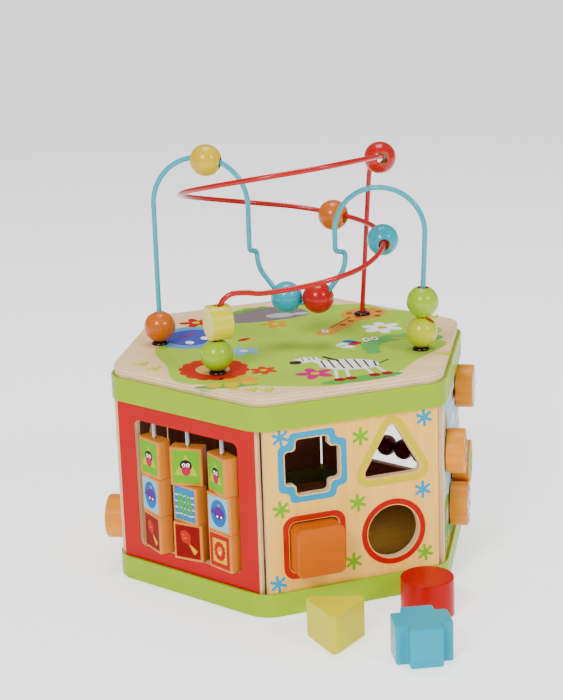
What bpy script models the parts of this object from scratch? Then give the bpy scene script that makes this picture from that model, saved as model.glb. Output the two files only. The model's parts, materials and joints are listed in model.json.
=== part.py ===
"""Hexagonal wooden activity centre: six play panels between two plastic trims,
two bead wires on the lid, turning picture blocks, a shape sorter with four
loose blocks, sliding discs on a track panel and a slope panel, and an abacus.

Metres, +Z up. The origin is the centre of the underside, the long diagonal of
the hexagon is along X, and the shape sorter faces -Y.
"""

import math

import bmesh
import bpy
from mathutils import Matrix, Vector

# Housing
SIDE = 0.150  # corner to centre of the trims, and so the length of one side
BODY_H = 0.1726  # table to the top of the lid
TRIM_H = 0.0185
TRIM_WALL = 0.0022
TRIM_CORNER_R = 0.021
CHANNEL_CORNER_R = 0.009  # inside the channels that hold the panels
PANEL_T = 0.0065
PANEL_GAP = 0.0011  # between neighbouring panels' inner edges
LID_T = 0.0120
FLOOR_T = 0.0060
FIT = 0.0003  # gap between pieces that touch

# Picture blocks
BLOCK_W = 0.0260
BLOCK_D = 0.0120
BLOCK_H = 0.0300
BLOCK_GAP = 0.0084  # between neighbouring columns of blocks
BLOCK_PITCH = BLOCK_W + BLOCK_GAP
ROD_D = 0.0030
ROD_CLEAR = 0.0004  # a block's bore or a rod's socket over the rod, on the radius
WINDOW_SIDES = 0.0046  # beside the outer columns
WINDOW_PLAY = 0.0121  # above the top blocks
WINDOW_W = 2 * BLOCK_PITCH + BLOCK_W + 2 * WINDOW_SIDES
WINDOW_H = 3 * (BLOCK_H + FIT) + WINDOW_PLAY
WINDOW_SILL = 0.0300
BLOCK_TURNS = ((-12, -16, -19), (23, -3, 10), (-19, -7, -8))  # degrees, top row first

# Shape sorter
SHAPE_H = 0.0300
SHAPE_CLEAR = 0.0010  # hole over block, all round
CROSS_W = 0.0415
CROSS_ARM = 0.0240
TRIANGLE_SIDE = 0.0475
ROUND_D = 0.0400
SQUARE_W = 0.0380
SORTER_COLUMN = 0.0320
SORTER_LOW = 0.0520
SORTER_HIGH = 0.1145
SQUARE_OUT = 0.0150  # how far the square block stands out of its hole
# where the loose blocks stand: along x, out from the trims and turn in degrees
LOOSE_TRIANGLE = (-0.0405, 0.0569, 156.5)
LOOSE_ROUND = (0.0405, 0.0391, 0)
LOOSE_CROSS = (0.0060, 0.1056, -13)

# Sliding discs
DISC_D = 0.0350
DISC_T = 0.0140
DISC_STANDOFF = 0.0008
STEM_D = 0.0070
HEAD_D = 0.0140
HEAD_T = 0.0030
SLOT_CLEAR = 0.0005
# along the panel, height, travel direction and length
TRACKS = (
    (0.038, 0.127, (-1.0, 0.0), 0.030),
    (-0.049, 0.102, (0.0, 1.0), 0.025),
    (0.003, 0.075, (1.0, 0.0), 0.042),
    (-0.020, 0.048, (-1.0, 0.0), 0.028),
)
SLOPE = (0.049, 0.040, (-0.78, 0.626), 0.100)

# Abacus
ABACUS_BEAD_D = 0.0180
ABACUS_CLEAR = 0.0010  # a bead's hole over its rod, on the radius
ABACUS_HOLE_D = ROD_D + 2 * ABACUS_CLEAR
ABACUS_W = 0.1000
ABACUS_H = 0.0660
ABACUS_SILL = 0.0340
ABACUS_INSET = 0.0166  # rod to the window's nearer edge
LOW_ROW = (0.0183, 0.0, -0.0183, -0.0366)
HIGH_ROW = (0.0380, 0.0140, -0.0100, -0.0340)

# Bead wires
WIRE_D = 0.0040
BEAD_D = 0.0250
BEAD_CLEAR = 0.0025  # a bead's bore over its wire, on the radius
BEAD_BORE = WIRE_D + 2 * BEAD_CLEAR
BEAD_HANG = BEAD_CLEAR - 0.0008  # a bead's centre below the middle of its wire
DRUM_D = 0.0270
DRUM_L = 0.0170
GROMMET_D = 0.0135
GROMMET_H = 0.0022
GROMMET_TUBE = 0.0080
FOOT_D = 0.0076  # push nut on the end of a wire, under the lid
BLUE_LEFT = Vector((-0.0950, 0.0410, 0.0))
BLUE_RIGHT = Vector((0.0835, -0.0665, 0.0))
RED_BACK = Vector((0.0824, 0.0499, 0.0))
RED_FRONT = Vector((-0.0795, -0.0565, 0.0))
ARCH_R = 0.0375
# heights here are above the lid
ARCH_RISE = 0.1504
LOW_ARCH_RISE = 0.1276
ARCH_BEAD = 0.1514
STEP_HIGH = 0.0774
STEP_LOW = 0.0749
DIP_LOW = 0.0160
DIP_BEADS = 0.0364
LOW_ARCH_R = 0.0345
DIP_R = 0.0270
DIP_SET_BACK = 0.0075
DIP_RISE = 0.0008  # beads at the dip sit above the middle of the wire
COIL_R = 0.0785
COIL_CENTRE = Vector((-0.0030, 0.0010, 0.0))
# height of the coil every 30 degrees, clockwise from +X
COIL_RISE = (0.1429, 0.1489, 0.1534, 0.1524, 0.1474, 0.1389, 0.1284, 0.1174, 0.1069,
             0.0979, 0.0919, 0.0874, 0.0839, 0.0784, 0.0714, 0.0659, 0.0604)
# how far out and how high the red wire is as it turns down into its front leg
FRONT_BEND = ((0.0245, 0.0614), (0.0140, 0.0612), (0.0080, 0.0582), (0.0043, 0.0532),
              (0.0020, 0.0439), (0.0006, 0.0334), (0.0, 0.0224))

FLAT = math.sqrt(3) / 2
TRIM_FLAT = SIDE * FLAT
FACE = TRIM_FLAT - TRIM_WALL - FIT  # outer faces of the panels
PANEL_W = (FACE - PANEL_T) / FLAT - PANEL_GAP
TOP_TRIM_Z = BODY_H - 0.0084 - TRIM_H + 0.0005
PANEL_Z0 = 0.0023
PANEL_Z1 = BODY_H - LID_T - 0.0027
LID_Z = BODY_H - LID_T
GROMMET_TOP = BODY_H + FIT + GROMMET_H


def clear_scene():
    for obj in list(bpy.data.objects):
        bpy.data.objects.remove(obj)


def material(name, rgb, roughness=0.5):
    mat = bpy.data.materials.new(name)
    mat.use_nodes = True
    shader = mat.node_tree.nodes["Principled BSDF"]
    shader.inputs["Base Color"].default_value = (*rgb, 1)
    shader.inputs["Roughness"].default_value = roughness
    return mat


def new_object(name, bm, mat, matrix=None, axis_at=None):
    """An object of this mesh. axis_at puts its origin on its joint's axis."""
    bmesh.ops.remove_doubles(bm, verts=bm.verts, dist=1e-6)
    bmesh.ops.recalc_face_normals(bm, faces=bm.faces)
    if matrix is not None:
        bm.transform(matrix)
    place = Vector(axis_at) if axis_at is not None else Vector()
    bm.transform(Matrix.Translation(-place))
    mesh = bpy.data.meshes.new(name)
    bm.to_mesh(mesh)
    bm.free()
    mesh.materials.append(mat)
    obj = bpy.data.objects.new(name, mesh)
    obj.location = place
    bpy.context.scene.collection.objects.link(obj)
    return obj


def face_matrix(degrees):
    """Panel space: x along the panel, y up, z out of its outer face."""
    a = math.radians(degrees)
    out = Vector((math.cos(a), math.sin(a), 0))
    along = Vector((-math.sin(a), math.cos(a), 0))
    up = Vector((0, 0, 1))
    rotation = Matrix((along, up, out)).transposed().to_4x4()
    return Matrix.Translation(out * FACE) @ rotation


def rounded(corners, radius, steps=4):
    """A closed outline with its corners rounded; it runs anticlockwise."""
    points = []
    count = len(corners)
    for i, corner in enumerate(corners):
        corner = Vector(corner)
        before = (Vector(corners[i - 1]) - corner).normalized()
        after = (Vector(corners[(i + 1) % count]) - corner).normalized()
        half = before.angle(after) / 2
        r = radius[i] if isinstance(radius, (list, tuple)) else radius
        start = corner + before * (r / math.tan(half))
        centre = corner + (before + after).normalized() * (r / math.sin(half))
        sweep = math.pi - 2 * half
        turn = before.x * after.y - before.y * after.x
        sign = -1 if turn > 0 else 1
        arm = start - centre
        for k in range(steps + 1):
            a = sign * sweep * k / steps
            points.append(centre + Matrix.Rotation(a, 2) @ arm)
    return points


def rectangle(width, height, centre=(0, 0)):
    x, y = centre
    w, h = width / 2, height / 2
    return [(x - w, y - h), (x + w, y - h), (x + w, y + h), (x - w, y + h)]


def circle(diameter, centre=(0, 0), steps=32):
    r = diameter / 2
    return [
        Vector((centre[0] + r * math.cos(t), centre[1] + r * math.sin(t)))
        for t in (2 * math.pi * k / steps for k in range(steps))
    ]


def hexagon(flat):
    r = flat / FLAT
    return [
        (r * math.cos(math.radians(a)), r * math.sin(math.radians(a)))
        for a in range(0, 360, 60)
    ]


def cross_outline(width, arm, centre=(0, 0)):
    w, a = width / 2, arm / 2
    x, y = centre
    quarter = [(w, -a), (w, a), (a, a), (a, w), (-a, w), (-a, a), (-w, a),
               (-w, -a), (-a, -a), (-a, -w), (a, -w), (a, -a)]
    return [(x + px, y + py) for px, py in quarter]


def triangle_outline(side, centre=(0, 0)):
    h = side * FLAT
    x, y = centre
    return [(x - side / 2, y - h / 3), (x + side / 2, y - h / 3), (x, y + 2 * h / 3)]


def slot_outline(track, width):
    """The slot for a disc that travels along its track."""
    x, y, (dx, dy), length = track
    way = Vector((dx, dy)).normalized()
    side = Vector((-way.y, way.x)) * (width / 2)
    start = Vector((x, y)) - way * (width / 2)
    end = Vector((x, y)) + way * (length + width / 2)
    corners = [start - side, end - side, end + side, start + side]
    return rounded(corners, width / 2 * 0.999, 5)


def plate(outer, holes, thickness):
    """A flat plate from z = -thickness to 0, with through holes."""
    bm = bmesh.new()
    edges = []
    for loop in [outer, *holes]:
        verts = [bm.verts.new((p[0], p[1], 0)) for p in loop]
        for a, b in zip(verts, verts[1:] + verts[:1]):
            edges.append(bm.edges.new((a, b)))
    filled = bmesh.ops.triangle_fill(bm, use_beauty=True, edges=edges)
    faces = [f for f in filled["geom"] if isinstance(f, bmesh.types.BMFace)]
    raised = bmesh.ops.extrude_face_region(bm, geom=faces)
    moved = [v for v in raised["geom"] if isinstance(v, bmesh.types.BMVert)]
    bmesh.ops.translate(bm, verts=moved, vec=(0, 0, -thickness))
    return bm


def lathe(profile, steps=24):
    """A solid of revolution about z; the profile is closed by its own ends."""
    bm = bmesh.new()
    rings = []
    for k in range(steps):
        t = 2 * math.pi * k / steps
        rings.append([
            bm.verts.new((r * math.cos(t), r * math.sin(t), z)) for r, z in profile
        ])
    count = len(profile)
    for a, b in zip(rings, rings[1:] + rings[:1]):
        for i in range(count):
            j = (i + 1) % count
            quad = [a[i], a[j], b[j], b[i]]
            bm.faces.new(quad)
    bmesh.ops.remove_doubles(bm, verts=bm.verts, dist=1e-7)
    bmesh.ops.dissolve_degenerate(bm, dist=1e-7, edges=bm.edges)
    return bm


def bored_sphere(diameter, bore, steps=16, rows=6):
    r = diameter / 2
    edge = math.asin(bore / diameter)
    profile = []
    for k in range(rows + 1):
        t = edge + (math.pi - 2 * edge) * k / rows
        profile.append((r * math.sin(t), r * math.cos(t)))
    return lathe(profile, steps)


def hexagon_ring(section):
    """A ring with this closed section; each point is (flat, z, corner radius)."""
    bm = bmesh.new()
    loops = []
    for flat, z, r in section:
        points = rounded(hexagon(flat), r, 5)
        loops.append([bm.verts.new((p.x, p.y, z)) for p in points])
    for a, b in zip(loops, loops[1:] + loops[:1]):
        for i in range(len(a)):
            j = (i + 1) % len(a)
            bm.faces.new((a[i], a[j], b[j], b[i]))
    return bm


def bent(points, radii, step=math.radians(16)):
    """A wire's path: straight runs joined by arcs of these radii."""
    path = [Vector(points[0])]
    for i in range(1, len(points) - 1):
        corner = Vector(points[i])
        before = (Vector(points[i - 1]) - corner).normalized()
        after = (Vector(points[i + 1]) - corner).normalized()
        half = before.angle(after) / 2
        r = radii[i - 1]
        centre = corner + (before + after).normalized() * (r / math.sin(half))
        start = corner + before * (r / math.tan(half))
        sweep = math.pi - 2 * half
        axis = after.cross(before).normalized()
        count = max(2, round(sweep / step))
        for k in range(count + 1):
            turn = Matrix.Rotation(sweep * k / count, 3, axis)
            path.append(centre + turn @ (start - centre))
    path.append(Vector(points[-1]))
    return path


def smooth(points, cuts):
    """A Catmull-Rom curve through the points."""
    path = []
    ends = [2 * points[0] - points[1], *points, 2 * points[-1] - points[-2]]
    for a, b, c, d in zip(ends, ends[1:], ends[2:], ends[3:]):
        for k in range(cuts):
            t = k / cuts
            path.append(
                0.5 * (2 * b + (c - a) * t + (2 * a - 5 * b + 4 * c - d) * t * t
                       + (3 * b - a - 3 * c + d) * t ** 3)
            )
    path.append(points[-1])
    return path


def wire_mesh(path, diameter, foot, sides=8):
    """A round wire along the path, with a push nut near each end."""
    bm = bmesh.new()
    tangents = []
    for i in range(len(path)):
        a, b = path[max(i - 1, 0)], path[min(i + 1, len(path) - 1)]
        tangents.append((b - a).normalized())
    normal = tangents[0].orthogonal().normalized()
    rings = []

    def ring(centre, normal, other, radius):
        return [
            bm.verts.new(centre + radius * (normal * math.cos(t) + other * math.sin(t)))
            for t in (2 * math.pi * k / sides for k in range(sides))
        ]

    for i, (point, tangent) in enumerate(zip(path, tangents)):
        normal = (normal - tangent * normal.dot(tangent)).normalized()
        other = tangent.cross(normal)
        r = diameter / 2
        if i == 0:
            rings.append(ring(point, normal, other, foot / 2))
            rings.append(ring(point + tangent * 0.0012, normal, other, foot / 2))
            rings.append(ring(point + tangent * 0.0012, normal, other, r))
        elif i == len(path) - 1:
            rings.append(ring(point - tangent * 0.0012, normal, other, r))
            rings.append(ring(point - tangent * 0.0012, normal, other, foot / 2))
            rings.append(ring(point, normal, other, foot / 2))
        else:
            rings.append(ring(point, normal, other, r))
    for a, b in zip(rings, rings[1:]):
        for i in range(sides):
            j = (i + 1) % sides
            bm.faces.new((a[i], a[j], b[j], b[i]))
    bm.faces.new(rings[0])
    bm.faces.new(rings[-1])
    return bm


def path_at(path, point):
    """The place on the path nearest to a point, and the path's direction there."""
    best = None
    for a, b in zip(path, path[1:]):
        run = b - a
        t = min(max((point - a).dot(run) / run.length_squared, 0), 1)
        near = a + run * t
        if best is None or (near - point).length < best[0]:
            best = ((near - point).length, near, run.normalized())
    return best[1], best[2]


def path_from(path, point, reaches):
    """The places at these distances along the path from a point on it."""
    at, _ = path_at(path, point)
    lengths = [0.0]
    for a, b in zip(path, path[1:]):
        lengths.append(lengths[-1] + (b - a).length)
    here = 0.0
    for i, (a, b) in enumerate(zip(path, path[1:])):
        if abs((at - a).length + (b - at).length - (b - a).length) < 1e-7:
            here = lengths[i] + (at - a).length
            break
    found = []
    for want in (here + reach for reach in reaches):
        for i in range(len(path) - 1):
            if lengths[i] <= want <= lengths[i + 1]:
                t = (want - lengths[i]) / (lengths[i + 1] - lengths[i])
                found.append(path[i].lerp(path[i + 1], t))
                break
    return found


def arc_through(a, b, c):
    """Centre and axis of the circle through three points."""
    ab, ac = b - a, c - a
    axis = ab.cross(ac)
    top = ac.length_squared * axis.cross(ab) + ab.length_squared * ac.cross(axis)
    return a + top / (2 * axis.length_squared), axis.normalized()


def turned_to(direction, centre):
    """Matrix that puts z along a direction at a centre."""
    rotation = direction.to_track_quat("Z", "Y").to_matrix().to_4x4()
    return Matrix.Translation(centre) @ rotation


# ---------------------------------------------------------------- housing
def add_housing(mats):
    board = FACE - FIT
    lid = rounded(hexagon(board), TRIM_CORNER_R - 0.0025, 5)
    holes = [
        circle(GROMMET_TUBE + 2 * FIT, (p.x, p.y), 16)
        for p in (BLUE_LEFT, BLUE_RIGHT, RED_BACK, RED_FRONT)
    ]
    bm = plate(lid, holes, LID_T)
    bmesh.ops.translate(bm, verts=bm.verts, vec=(0, 0, BODY_H))
    new_object("top_board", bm, mats["wood"])

    shelf = LID_Z - FIT
    inner = FACE - PANEL_T - FIT
    lip = inner - 0.0020
    outer = TRIM_FLAT
    big, lid_r, small = TRIM_CORNER_R, TRIM_CORNER_R - TRIM_WALL, CHANNEL_CORNER_R
    top = TOP_TRIM_Z + TRIM_H
    section = [
        (outer, TOP_TRIM_Z, big), (outer, top - 0.0006, big),
        (outer - 0.0006, top, big - 0.0006), (FACE + FIT, top, lid_r),
        (FACE + FIT, shelf, lid_r), (lip, shelf, small), (lip, TOP_TRIM_Z, small),
        (inner, TOP_TRIM_Z, small), (inner, shelf - 0.0020, small),
        (FACE + FIT, shelf - 0.0020, small), (FACE + FIT, TOP_TRIM_Z, small),
    ]
    new_object("top_trim", hexagon_ring(section), mats["lime"])

    section = [
        (outer, 0.0, big), (outer, TRIM_H - 0.0006, big),
        (outer - 0.0006, TRIM_H, big - 0.0006), (FACE + FIT, TRIM_H, small),
        (FACE + FIT, 0.0020, small), (inner, 0.0020, small),
        (inner, TRIM_H, small), (lip, TRIM_H, small), (lip, 0.0, small),
    ]
    new_object("bottom_trim", hexagon_ring(section), mats["lime"])

    base = rounded(hexagon(lip - FIT), CHANNEL_CORNER_R, 5)
    bm = plate(base, [], FLOOR_T)
    bmesh.ops.translate(bm, verts=bm.verts, vec=(0, 0, FLOOR_T))
    new_object("floor_board", bm, mats["wood"])


def panel_outline():
    h = PANEL_Z1 - PANEL_Z0
    return rectangle(PANEL_W, h, (0, PANEL_Z0 + h / 2))


def add_panels(mats):
    window = rounded(
        rectangle(WINDOW_W, WINDOW_H, (0, WINDOW_SILL + WINDOW_H / 2)), 0.0050, 3
    )
    bm = plate(panel_outline(), [window], PANEL_T)
    left = new_object("block_window_panel", bm, mats["red"], face_matrix(-150))
    sockets = bmesh.new()
    for k in (-1, 0, 1):
        bmesh.ops.create_cone(
            sockets, cap_ends=True, segments=12,
            radius1=ROD_D / 2 + ROD_CLEAR, radius2=ROD_D / 2 + ROD_CLEAR,
            depth=WINDOW_H + 0.012,
            matrix=Matrix.Translation((k * BLOCK_PITCH, WINDOW_SILL + WINDOW_H / 2,
                                       -PANEL_T / 2)) @ Matrix.Rotation(math.pi / 2, 4, "X"),
        )
    cut_with(left, sockets, face_matrix(-150))

    column, low, high = SORTER_COLUMN, SORTER_LOW, SORTER_HIGH
    grow = 2 * SHAPE_CLEAR
    holes = [
        rounded(cross_outline(CROSS_W + grow, CROSS_ARM + grow, (-column, high)),
                0.0030, 3),
        rounded(triangle_outline(TRIANGLE_SIDE + grow * 1.73, (column, high - 0.0030)),
                0.0048, 5),
        circle(ROUND_D + grow, (column, low), 32),
        rounded(rectangle(SQUARE_W + grow, SQUARE_W + grow, (-column, low)), 0.0060, 4),
    ]
    bm = plate(panel_outline(), holes, PANEL_T)
    new_object("sorter_panel", bm, mats["wood"], face_matrix(-90))

    slots = [slot_outline(track, STEM_D + 2 * SLOT_CLEAR) for track in TRACKS]
    bm = plate(panel_outline(), slots, PANEL_T)
    new_object("track_panel", bm, mats["wood"], face_matrix(-30))

    window = rounded(
        rectangle(ABACUS_W, ABACUS_H, (0, ABACUS_SILL + ABACUS_H / 2)), 0.0050, 3
    )
    bm = plate(panel_outline(), [window], PANEL_T)
    abacus = new_object("abacus_panel", bm, mats["red"], face_matrix(30))
    sockets = bmesh.new()
    for z in abacus_rows():
        bmesh.ops.create_cone(
            sockets, cap_ends=True, segments=12,
            radius1=ROD_D / 2 + ROD_CLEAR, radius2=ROD_D / 2 + ROD_CLEAR,
            depth=ABACUS_W + 0.016,
            matrix=Matrix.Translation((0, z, -PANEL_T / 2))
            @ Matrix.Rotation(math.pi / 2, 4, "Y"),
        )
    cut_with(abacus, sockets, face_matrix(30))

    new_object("back_panel", plate(panel_outline(), [], PANEL_T), mats["wood"],
               face_matrix(90))
    bm = plate(panel_outline(), [slot_outline(SLOPE, STEM_D + 2 * SLOT_CLEAR)], PANEL_T)
    new_object("slope_panel", bm, mats["wood"], face_matrix(150))


def cut_with(obj, bm, matrix):
    """Cuts a hidden helper's shape out of an object."""
    bm.transform(matrix)
    mesh = bpy.data.meshes.new(obj.name + "_cut")
    bm.to_mesh(mesh)
    bm.free()
    cutter = bpy.data.objects.new(obj.name + "_cut", mesh)
    bpy.context.scene.collection.objects.link(cutter)
    cutter.hide_render = True
    cutter.display_type = "WIRE"
    cut = obj.modifiers.new("sockets", "BOOLEAN")
    cut.operation = "DIFFERENCE"
    cut.solver = "EXACT"
    cut.object = cutter


def abacus_rows():
    return ABACUS_SILL + ABACUS_INSET, ABACUS_SILL + ABACUS_H - ABACUS_INSET


# ---------------------------------------------------------------- play pieces
def add_picture_blocks(mats):
    frame = face_matrix(-150)
    for column, turns in enumerate(BLOCK_TURNS, 1):
        x = (column - 2) * BLOCK_PITCH
        foot = frame @ Vector((x, WINDOW_SILL - 0.0050, -PANEL_T / 2))
        length = WINDOW_H + 0.0100
        bm = bmesh.new()
        bmesh.ops.create_cone(bm, cap_ends=True, segments=12, radius1=ROD_D / 2,
                              radius2=ROD_D / 2, depth=length)
        place = foot + Vector((0, 0, length / 2))
        new_object(f"block_rod_{column}", bm, mats["steel"], Matrix.Translation(place))
        for row, turn in enumerate(turns, 1):
            z = WINDOW_SILL + FIT + (3 - row) * (BLOCK_H + FIT) + BLOCK_H
            outline = rounded(rectangle(BLOCK_W, BLOCK_D), 0.0012, 2)
            hole = circle(ROD_D + 2 * ROD_CLEAR, steps=12)
            bm = plate(outline, [hole], BLOCK_H)
            spin = Matrix.Rotation(math.radians(-150 + 90 + turn), 4, "Z")
            axis = Vector((foot.x, foot.y, z))
            new_object(f"picture_block_{column}{row}", bm, mats["beech"],
                       Matrix.Translation(axis) @ spin, axis)


def loose_place(x, out, turn):
    """Where a block stands in front of the sorter."""
    return (Matrix.Translation((x, -TRIM_FLAT - out, 0))
            @ Matrix.Rotation(math.radians(turn), 4, "Z"))


def add_shape_blocks(mats):
    square = plate(rounded(rectangle(SQUARE_W, SQUARE_W), 0.0050, 4), [], SHAPE_H)
    sill = SORTER_LOW - SQUARE_W / 2 - SHAPE_CLEAR
    centre = (-SORTER_COLUMN, sill + FIT + SQUARE_W / 2, SQUARE_OUT)
    new_object("shape_square", square, mats["orange"],
               face_matrix(-90) @ Matrix.Translation(centre))
    lift = Matrix.Translation((0, 0, SHAPE_H))
    triangle = plate(rounded(triangle_outline(TRIANGLE_SIDE), 0.0040, 5), [], SHAPE_H)
    new_object("shape_triangle", triangle, mats["yellow"],
               loose_place(*LOOSE_TRIANGLE) @ lift)
    drum = plate(circle(ROUND_D, steps=36), [], SHAPE_H)
    new_object("shape_round", drum, mats["red_bead"],
               loose_place(*LOOSE_ROUND) @ lift)
    cross = plate(rounded(cross_outline(CROSS_W, CROSS_ARM), 0.0022, 3), [], SHAPE_H)
    new_object("shape_cross", cross, mats["cyan"],
               loose_place(*LOOSE_CROSS) @ lift)


def add_disc(name, track, face, mat):
    x, y = track[0], track[1]
    r, edge = DISC_D / 2, 0.0010
    near = DISC_STANDOFF
    back = -PANEL_T - DISC_STANDOFF
    profile = [
        (0, near + DISC_T), (r - edge, near + DISC_T), (r, near + DISC_T - edge),
        (r, near), (STEM_D / 2, near), (STEM_D / 2, back), (HEAD_D / 2, back),
        (HEAD_D / 2, back - HEAD_T), (0, back - HEAD_T),
    ]
    new_object(name, lathe(profile, 20), mat,
               face_matrix(face) @ Matrix.Translation((x, y, 0)))


def add_abacus(mats):
    frame = face_matrix(30)
    rows = (("low", LOW_ROW), ("high", HIGH_ROW))
    for (label, row), z in zip(rows, abacus_rows()):
        axis = frame @ Matrix.Translation((0, z, -PANEL_T / 2))
        along = axis @ Matrix.Rotation(math.pi / 2, 4, "Y")
        bm = bmesh.new()
        bmesh.ops.create_cone(bm, cap_ends=True, segments=12, radius1=ROD_D / 2,
                              radius2=ROD_D / 2, depth=ABACUS_W + 0.0140)
        new_object(f"abacus_rod_{label}", bm, mats["steel"], along)
        for i, x in enumerate(row, 1):
            bm = bored_sphere(ABACUS_BEAD_D, ABACUS_HOLE_D, 12, 5)
            centre = frame @ Vector((x, z, -PANEL_T / 2))
            move = Matrix.Translation(centre) @ along.to_3x3().to_4x4()
            new_object(f"abacus_bead_{label}_{i}", bm, mats["red_bead"], move, centre)


# ---------------------------------------------------------------- bead wires
def blue_path():
    """In the upright plane through both feet, stepping back at the dip."""
    way = (BLUE_RIGHT - BLUE_LEFT).normalized()
    back = Vector((-way.y, way.x, 0))
    span = (BLUE_RIGHT - BLUE_LEFT).length
    foot = LID_Z - 0.0040
    dip = DIP_SET_BACK
    first = 0.0004 + 2 * ARCH_R
    second = 0.1428
    mid = (first + 0.0045 + second + 0.0065) / 2
    low = BODY_H + DIP_LOW
    step, sink = BODY_H + STEP_HIGH, BODY_H + STEP_LOW
    high, lower = BODY_H + ARCH_RISE, BODY_H + LOW_ARCH_RISE
    lean = (span + 0.0057, span - 0.0008)
    points = [
        (0.0004, 0, foot), (0.0004, 0, high), (first, 0, high),
        (first, 0, step), (first + 0.0040, dip, sink),
        (mid - 0.0340, dip, low + 0.0453), (mid, dip, low),
        (mid + 0.0340, dip, low + 0.0453), (second + 0.0068, dip, sink),
        (second, 0, step), (second, 0, lower), (lean[0], 0, lower),
        (lean[1], 0, foot),
    ]
    radii = (ARCH_R * 0.999, ARCH_R * 0.999, 0.0038, 0.0038, 0.0240, DIP_R, 0.0240,
             0.0038, 0.0038, LOW_ARCH_R, LOW_ARCH_R)
    return bent([BLUE_LEFT + way * u + back * v + Vector((0, 0, z))
                 for u, v, z in points], radii)


def red_path():
    """Up the back leg, one and a half turns down the coil, down the front leg."""
    foot = LID_Z - 0.0040
    b, f = RED_BACK, RED_FRONT
    points = [
        Vector((b.x, b.y, foot)), Vector((b.x, b.y, BODY_H)),
        Vector((b.x + 0.0040, b.y - 0.0012, BODY_H + 0.0624)),
        Vector((b.x + 0.0075, b.y - 0.0022, BODY_H + 0.1144)),
        Vector((b.x + 0.0088, b.y - 0.0048, BODY_H + 0.1274)),
        Vector((b.x + 0.0085, b.y - 0.0160, BODY_H + 0.1359)),
        Vector((b.x + 0.0040, b.y - 0.0330, BODY_H + 0.1396)),
    ]
    for k, z in enumerate(COIL_RISE):
        a = math.radians(-30 * k)
        points.append(COIL_CENTRE + Vector((COIL_R * math.cos(a), COIL_R * math.sin(a),
                                            BODY_H + z)))
    last = points[-1]
    way = Vector((last.x - f.x, last.y - f.y, 0)).normalized()
    for out, z in FRONT_BEND:
        points.append(f + way * out + Vector((0, 0, BODY_H + z)))
    points += [Vector((f.x, f.y, BODY_H)), Vector((f.x, f.y, foot))]
    return smooth(points, 4)


def add_wire_bead(name, path, near, mat, hang=None, reaches=(-0.020, 0.0, 0.020)):
    """A bead on the wire, turned along it and hanging from it.

    Its origin is the centre of the wire's bend, measured at these reaches.
    """
    at, along = path_at(path, near)
    down = Vector((0, 0, -1))
    down -= along * down.dot(along)
    if hang is None:
        hang = BEAD_HANG if down.length > 0.3 else 0.0
    centre = at + down.normalized() * hang if hang else at
    before, here, after = path_from(path, at, reaches)
    bend = (here - before).cross(after - here).length
    axis_at = centre
    if bend > 2e-5:
        axis_at = arc_through(before, here, after)[0]
    new_object(name, bored_sphere(BEAD_D, BEAD_BORE), mat, turned_to(along, centre),
               axis_at)
    return centre


def add_wires(mats):
    blue, red = blue_path(), red_path()
    new_object("blue_wire", wire_mesh(blue, WIRE_D, FOOT_D), mats["cyan"])
    new_object("red_wire", wire_mesh(red, WIRE_D, FOOT_D), mats["red"])
    feet = (("blue_left", BLUE_LEFT), ("blue_right", BLUE_RIGHT),
            ("red_back", RED_BACK), ("red_front", RED_FRONT))
    for name, at in feet:
        tube, bore = GROMMET_TUBE / 2, WIRE_D / 2 + 0.0007
        z0, z1 = BODY_H - 0.0060, BODY_H + FIT
        rim = GROMMET_D / 2
        profile = [(bore, z0), (tube, z0), (tube, z1), (rim, z1),
                   (rim, z1 + GROMMET_H * 0.5), (rim - 0.0014, z1 + GROMMET_H),
                   (bore, z1 + GROMMET_H)]
        new_object(f"grommet_{name}", lathe(profile, 12), mats["black"],
                   Matrix.Translation(at))

    cut = math.sqrt(BEAD_D ** 2 - BEAD_BORE ** 2) / 2  # half a bead along its bore
    rest = GROMMET_TOP + FIT + cut
    way = (BLUE_RIGHT - BLUE_LEFT).normalized()
    back = Vector((-way.y, way.x, 0))
    upper = rest + 2 * cut + FIT

    def on_blue(u, z, v=0.0):
        return BLUE_LEFT + way * u + back * v + Vector((0, 0, z))

    span = (BLUE_RIGHT - BLUE_LEFT).length
    add_wire_bead("bead_orange_leg", blue, on_blue(0, rest), mats["orange"], 0)
    add_wire_bead("bead_yellow_arch", blue, on_blue(0.0440, BODY_H + ARCH_BEAD), mats["yellow"])
    mid = (0.0004 + 2 * ARCH_R + 0.0045 + 0.1428 + 0.0065) / 2
    aside = 0.0136
    add_wire_bead("bead_cyan_dip", blue, on_blue(mid - aside, BODY_H + DIP_BEADS, DIP_SET_BACK),
                  mats["cyan"], -DIP_RISE)
    add_wire_bead("bead_red_dip", blue, on_blue(mid + aside, BODY_H + DIP_BEADS, DIP_SET_BACK),
                  mats["red_bead"], -DIP_RISE)
    add_wire_bead("bead_lime_leg", blue, on_blue(span, rest), mats["lime_bead"], 0)
    add_wire_bead("bead_green_leg", blue, on_blue(span + 0.002, upper + 0.0003),
                  mats["lime_bead"], 0)

    def on_coil(degrees):
        a = math.radians(degrees)
        k = -degrees / 30
        i = min(int(k), len(COIL_RISE) - 2)
        z = COIL_RISE[i] + (COIL_RISE[i + 1] - COIL_RISE[i]) * (k - i)
        return COIL_CENTRE + Vector((COIL_R * math.cos(a), COIL_R * math.sin(a),
                                     BODY_H + z))

    add_wire_bead("bead_red_coil", red, on_coil(-18), mats["red_bead"], None,
                  (0.0, 0.030, 0.060))
    add_wire_bead("bead_orange_coil", red, on_coil(-322), mats["orange"])
    add_wire_bead("bead_cyan_coil", red, on_coil(-377), mats["cyan"])
    add_wire_bead("bead_green_coil", red, RED_FRONT + Vector((0.0006, -0.0003, rest)),
                  mats["lime_bead"], 0)
    centre = RED_FRONT + Vector((0.0022, -0.0006, rest + cut + FIT + DRUM_D / 2))
    add_drum("drum_yellow_coil", centre, mats["yellow"])


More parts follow.
